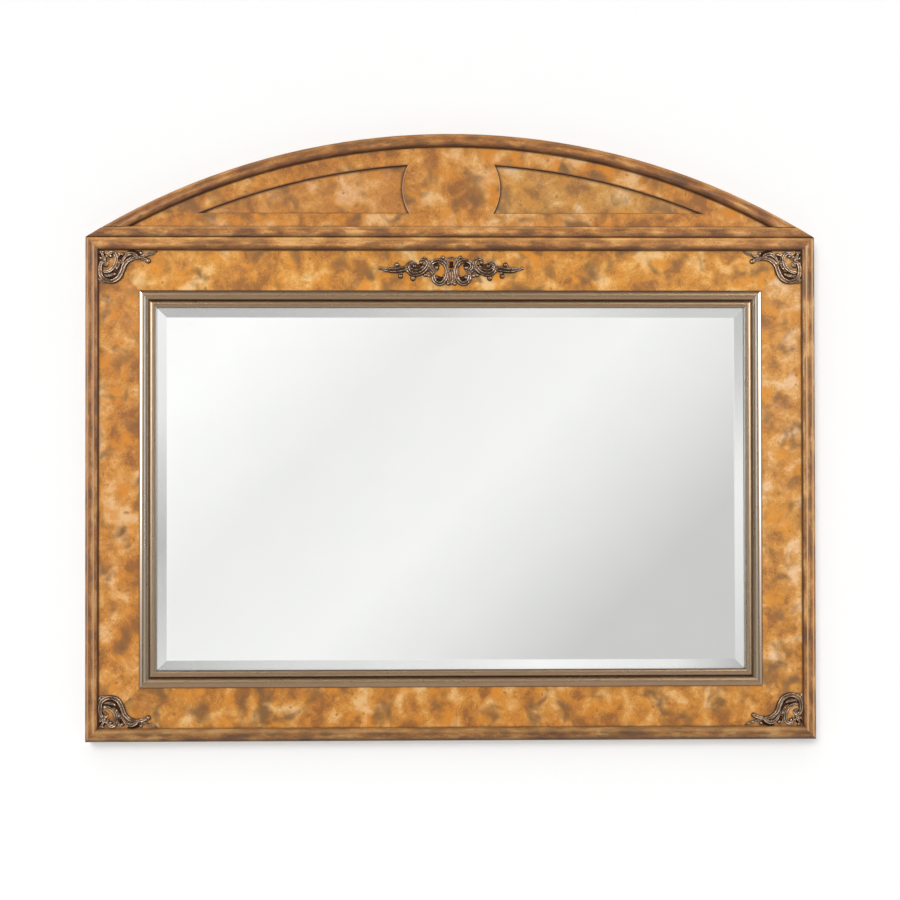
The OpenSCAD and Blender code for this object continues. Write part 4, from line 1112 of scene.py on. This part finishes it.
def stage_plane(name, width, height, place, normal, material):
    """A flat stage piece facing along normal."""
    shape = bmesh.new()
    bmesh.ops.create_grid(shape, x_segments=1, y_segments=1, size=0.5)
    bmesh.ops.scale(shape, vec=(width, height, 1), verts=shape.verts)
    turn = Vector(normal).to_track_quat("Z", "Y").to_matrix().to_4x4()
    shape.transform(Matrix.Translation(place) @ turn)
    piece = object_from(shape, name, material)
    return piece


def backdrop_material(name, tone, glow, see_through):
    """Matt paint that also shows its own paleness to the camera, metal and glass.

    The wall lets the view from behind through, so that the mirror's back shows.
    """
    made, add = new_material(name)
    paint = add("BsdfPrincipled", inputs={
        "Base Color": tone, "Roughness": 1, "Specular IOR Level": 0})
    seen = add("Math", add("LightPath", output="Is Camera Ray"),
               add("LightPath", output="Is Glossy Ray"), operation="MAXIMUM")
    seen = add("Math", seen, add("LightPath", output="Is Transmission Ray"), operation="MAXIMUM")
    shine = add("Emission", (1, 1, 1), add("Math", seen, glow, operation="MULTIPLY"))
    surface = add("AddShader", paint, shine)
    if see_through:
        surface = add("MixShader", add("NewGeometry", output="Backfacing"), surface,
                      add("BsdfTransparent"))
    add("OutputMaterial", surface)
    return made


def softbox_material():
    """A tall diffuser whose light fades towards its foot."""
    made, add = new_material("softbox")
    foot, shoulder = -0.7, 0.2
    level = add("MapRange", axes(add)[3], foot, shoulder, 0.35, 4.6, **SMOOTH)
    add("OutputMaterial", add("Emission", (1, 1, 1), level))
    return made


def studio_world():
    """White to the camera, soft all round, and a graded studio in the glass and the metal."""
    studio = bpy.context.scene.mirror_studio
    world = bpy.data.worlds.new("studio")
    bpy.context.scene.world = world
    world.use_nodes = True
    world.node_tree.nodes.clear()
    add = functools.partial(node, world.node_tree)
    x, y, z = add("SeparateXYZ", add("TexCoord", output="Generated")).node.outputs
    forward = add("Math", add("Math", y, -1, operation="MULTIPLY"), 0.05, operation="MAXIMUM")
    sideways = add("Math", x, forward, operation="DIVIDE")
    upwards = add("Math", z, forward, operation="DIVIDE")

    # The studio in the glass, in slanting bands from upper left to lower right
    slant = add("Math", sideways, upwards, operation="SUBTRACT")
    first, last = -0.55, 0.6
    shades = [(-0.499, 0.68), (-0.424, 0.52), (-0.333, 0.83), (-0.251, 0.8), (-0.174, 0.97),
              (-0.14, 0.98), (-0.049, 0.83), (0.042, 0.9), (0.099, 0.78), (0.167, 0.58),
              (0.235, 0.57), (0.326, 0.54), (0.417, 0.62), (0.497, 0.9), (0.56, 0.62)]
    glass = add("ValToRGB", add("MapRange", slant, first, last), stops=[
        ((place - first) / (last - first), (shade * studio.glass_level,) * 3)
        for place, shade in shades])

    # What the metal sees: pale in front, dark gaps beside it, dimmer above and below
    beside = add("Math", sideways, operation="ABSOLUTE")
    gap = add("Math", add("MapRange", beside, 0.3, 0.4, **SMOOTH),
              add("MapRange", beside, 1.1, 1.6, 1, 0, **SMOOTH), operation="MULTIPLY")
    metal = add("MapRange", add("Math", upwards, operation="ABSOLUTE"), 0.2, 0.7, 0.72, 0.46, **SMOOTH)
    metal = add("Math", metal, add("Math", gap, -0.75, 1, operation="MULTIPLY_ADD"),
                operation="MULTIPLY")
    # Two small lamps high up on both sides, which only rounded metal catches
    lamps = add("Math", line(add, beside, 0.42, 0.24, 1), line(add, upwards, 0.5, 0.3, 14),
                operation="MULTIPLY")
    metal = add("Math", metal, lamps, operation="ADD")
    # The room behind the mirror, for the fittings on its back
    behind = add("MapRange", z, -0.5, 0.5, 0.55, 1.35, **SMOOTH)
    metal = add("Mix", add("Math", y, 0, operation="GREATER_THAN"), metal, behind, **COLOURS)
    level = add("Mix", add("LightPath", output="Is Glossy Ray"), (studio.ambient,) * 3, metal,
                **COLOURS)
    level = add("Mix", add("LightPath", output="Is Transmission Ray"), level, glass, **COLOURS)
    level = add("Mix", add("LightPath", output="Is Camera Ray"), level, (1, 1, 1), **COLOURS)
    add("OutputWorld", add("Background", level))


def hide_from(piece, *rays):
    """Keeps a piece out of these kinds of ray."""
    for ray in rays:
        setattr(piece, "visible_" + ray, False)


def add_sun(name, towards, share, softness):
    """A soft, even lamp whose light comes from the direction towards."""
    lamp = bpy.data.lights.new(name, "SUN")
    lamp.energy = math.pi * share
    lamp.angle = softness
    placed = bpy.data.objects.new(name, lamp)
    placed.rotation_euler = Vector(towards).to_track_quat("Z", "Y").to_euler()
    hide_from(placed, "glossy", "transmission")
    bpy.context.scene.collection.objects.link(placed)


class MIRROR_OT_studio(bpy.types.Operator):
    """Build the wall, the floor, the lamps and the camera"""

    bl_idname = "mirror.studio"
    bl_label = "Studio"

    def execute(self, context):
        studio = context.scene.mirror_studio
        floor_height, wall_height = -1.9, 6
        wall = stage_plane("wall", 9, wall_height, (0, 0, floor_height + wall_height / 2), (0, -1, 0),
                           backdrop_material("wall_paint", studio.wall, studio.wall_glow, True))
        hide_from(wall, "shadow", "diffuse")
        stage_plane("floor", 14, 14, (0, 0, floor_height), (0, 0, 1),
                    backdrop_material("floor_paint", studio.floor, studio.floor_glow, False))
        diffuser = softbox_material()
        for side in (-1, 1):
            box = stage_plane("softbox_" + ("left" if side < 0 else "right"), 1, 2.4,
                              (side * 1.25, -0.75, 0.6), (-side, 0, 0), diffuser)
            hide_from(box, "camera", "diffuse", "transmission", "shadow")
        studio_world()
        # The photograph's shadows fall to the right and downwards by these angles
        rightwards, downwards = math.radians(14.5), math.radians(17.5)
        key_from = (-math.tan(rightwards), -1, math.tan(downwards))
        upper_from = (-0.15, -0.64, 0.76)
        back_from = (0.5, 1, 0.6)
        add_sun("key_lamp", key_from, studio.key, studio.softness)
        add_sun("upper_lamp", upper_from, studio.overhead, 3 * studio.softness)
        add_sun("back_lamp", back_from, studio.behind, studio.softness)
        camera = bpy.data.cameras.new("camera")
        camera.lens = studio.lens
        camera.sensor_width = SENSOR_WIDTH
        placed = bpy.data.objects.new("camera", camera)
        placed.matrix_world = (
            Matrix.Translation(CAMERA_PLACE)
            @ Matrix.Rotation(-CAMERA_YAW, 4, "Z")
            @ Matrix.Rotation(math.pi / 2 + CAMERA_PITCH, 4, "X")
            @ Matrix.Rotation(CAMERA_ROLL, 4, "Z")
        )
        context.scene.collection.objects.link(placed)
        context.scene.camera = placed
        context.scene.view_settings.view_transform = "Standard"
        return {"FINISHED"}


OPERATORS = (
    MIRROR_OT_timber, MIRROR_OT_veneer, MIRROR_OT_mouldings, MIRROR_OT_fillet, MIRROR_OT_glass,
    MIRROR_OT_backing, MIRROR_OT_fittings, MIRROR_OT_corner_ornaments, MIRROR_OT_centre_ornament,
    MIRROR_OT_studio,
)
SETTINGS = {
    "mirror_veneer": VeneerSettings, "mirror_moulding": MouldingSettings,
    "mirror_metal": MetalSettings, "mirror_casting": CastingSettings,
    "mirror_studio": StudioSettings,
}


class MIRROR_PT_panel(bpy.types.Panel):
    """Lists the steps that finish the mirror"""

    bl_idname = "MIRROR_PT_panel"
    bl_label = "Arched wall mirror"
    bl_space_type = "VIEW_3D"
    bl_region_type = "UI"
    bl_category = "Mirror"

    def draw(self, context):
        for operator in OPERATORS:
            self.layout.operator(operator.bl_idname)


def register():
    for group in SETTINGS.values():
        bpy.utils.register_class(group)
    for operator in OPERATORS:
        bpy.utils.register_class(operator)
    bpy.utils.register_class(MIRROR_PT_panel)
    for name, group in SETTINGS.items():
        setattr(bpy.types.Scene, name, bpy.props.PointerProperty(type=group))


def unregister():
    for name in SETTINGS:
        delattr(bpy.types.Scene, name)
    bpy.utils.unregister_class(MIRROR_PT_panel)
    for operator in reversed(OPERATORS):
        bpy.utils.unregister_class(operator)
    for group in SETTINGS.values():
        bpy.utils.unregister_class(group)


def main():
    """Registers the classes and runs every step."""
    register()
    for operator in OPERATORS:
        group, name = operator.bl_idname.split(".")
        getattr(getattr(bpy.ops, group), name)()


if __name__ == "__main__":
    main()
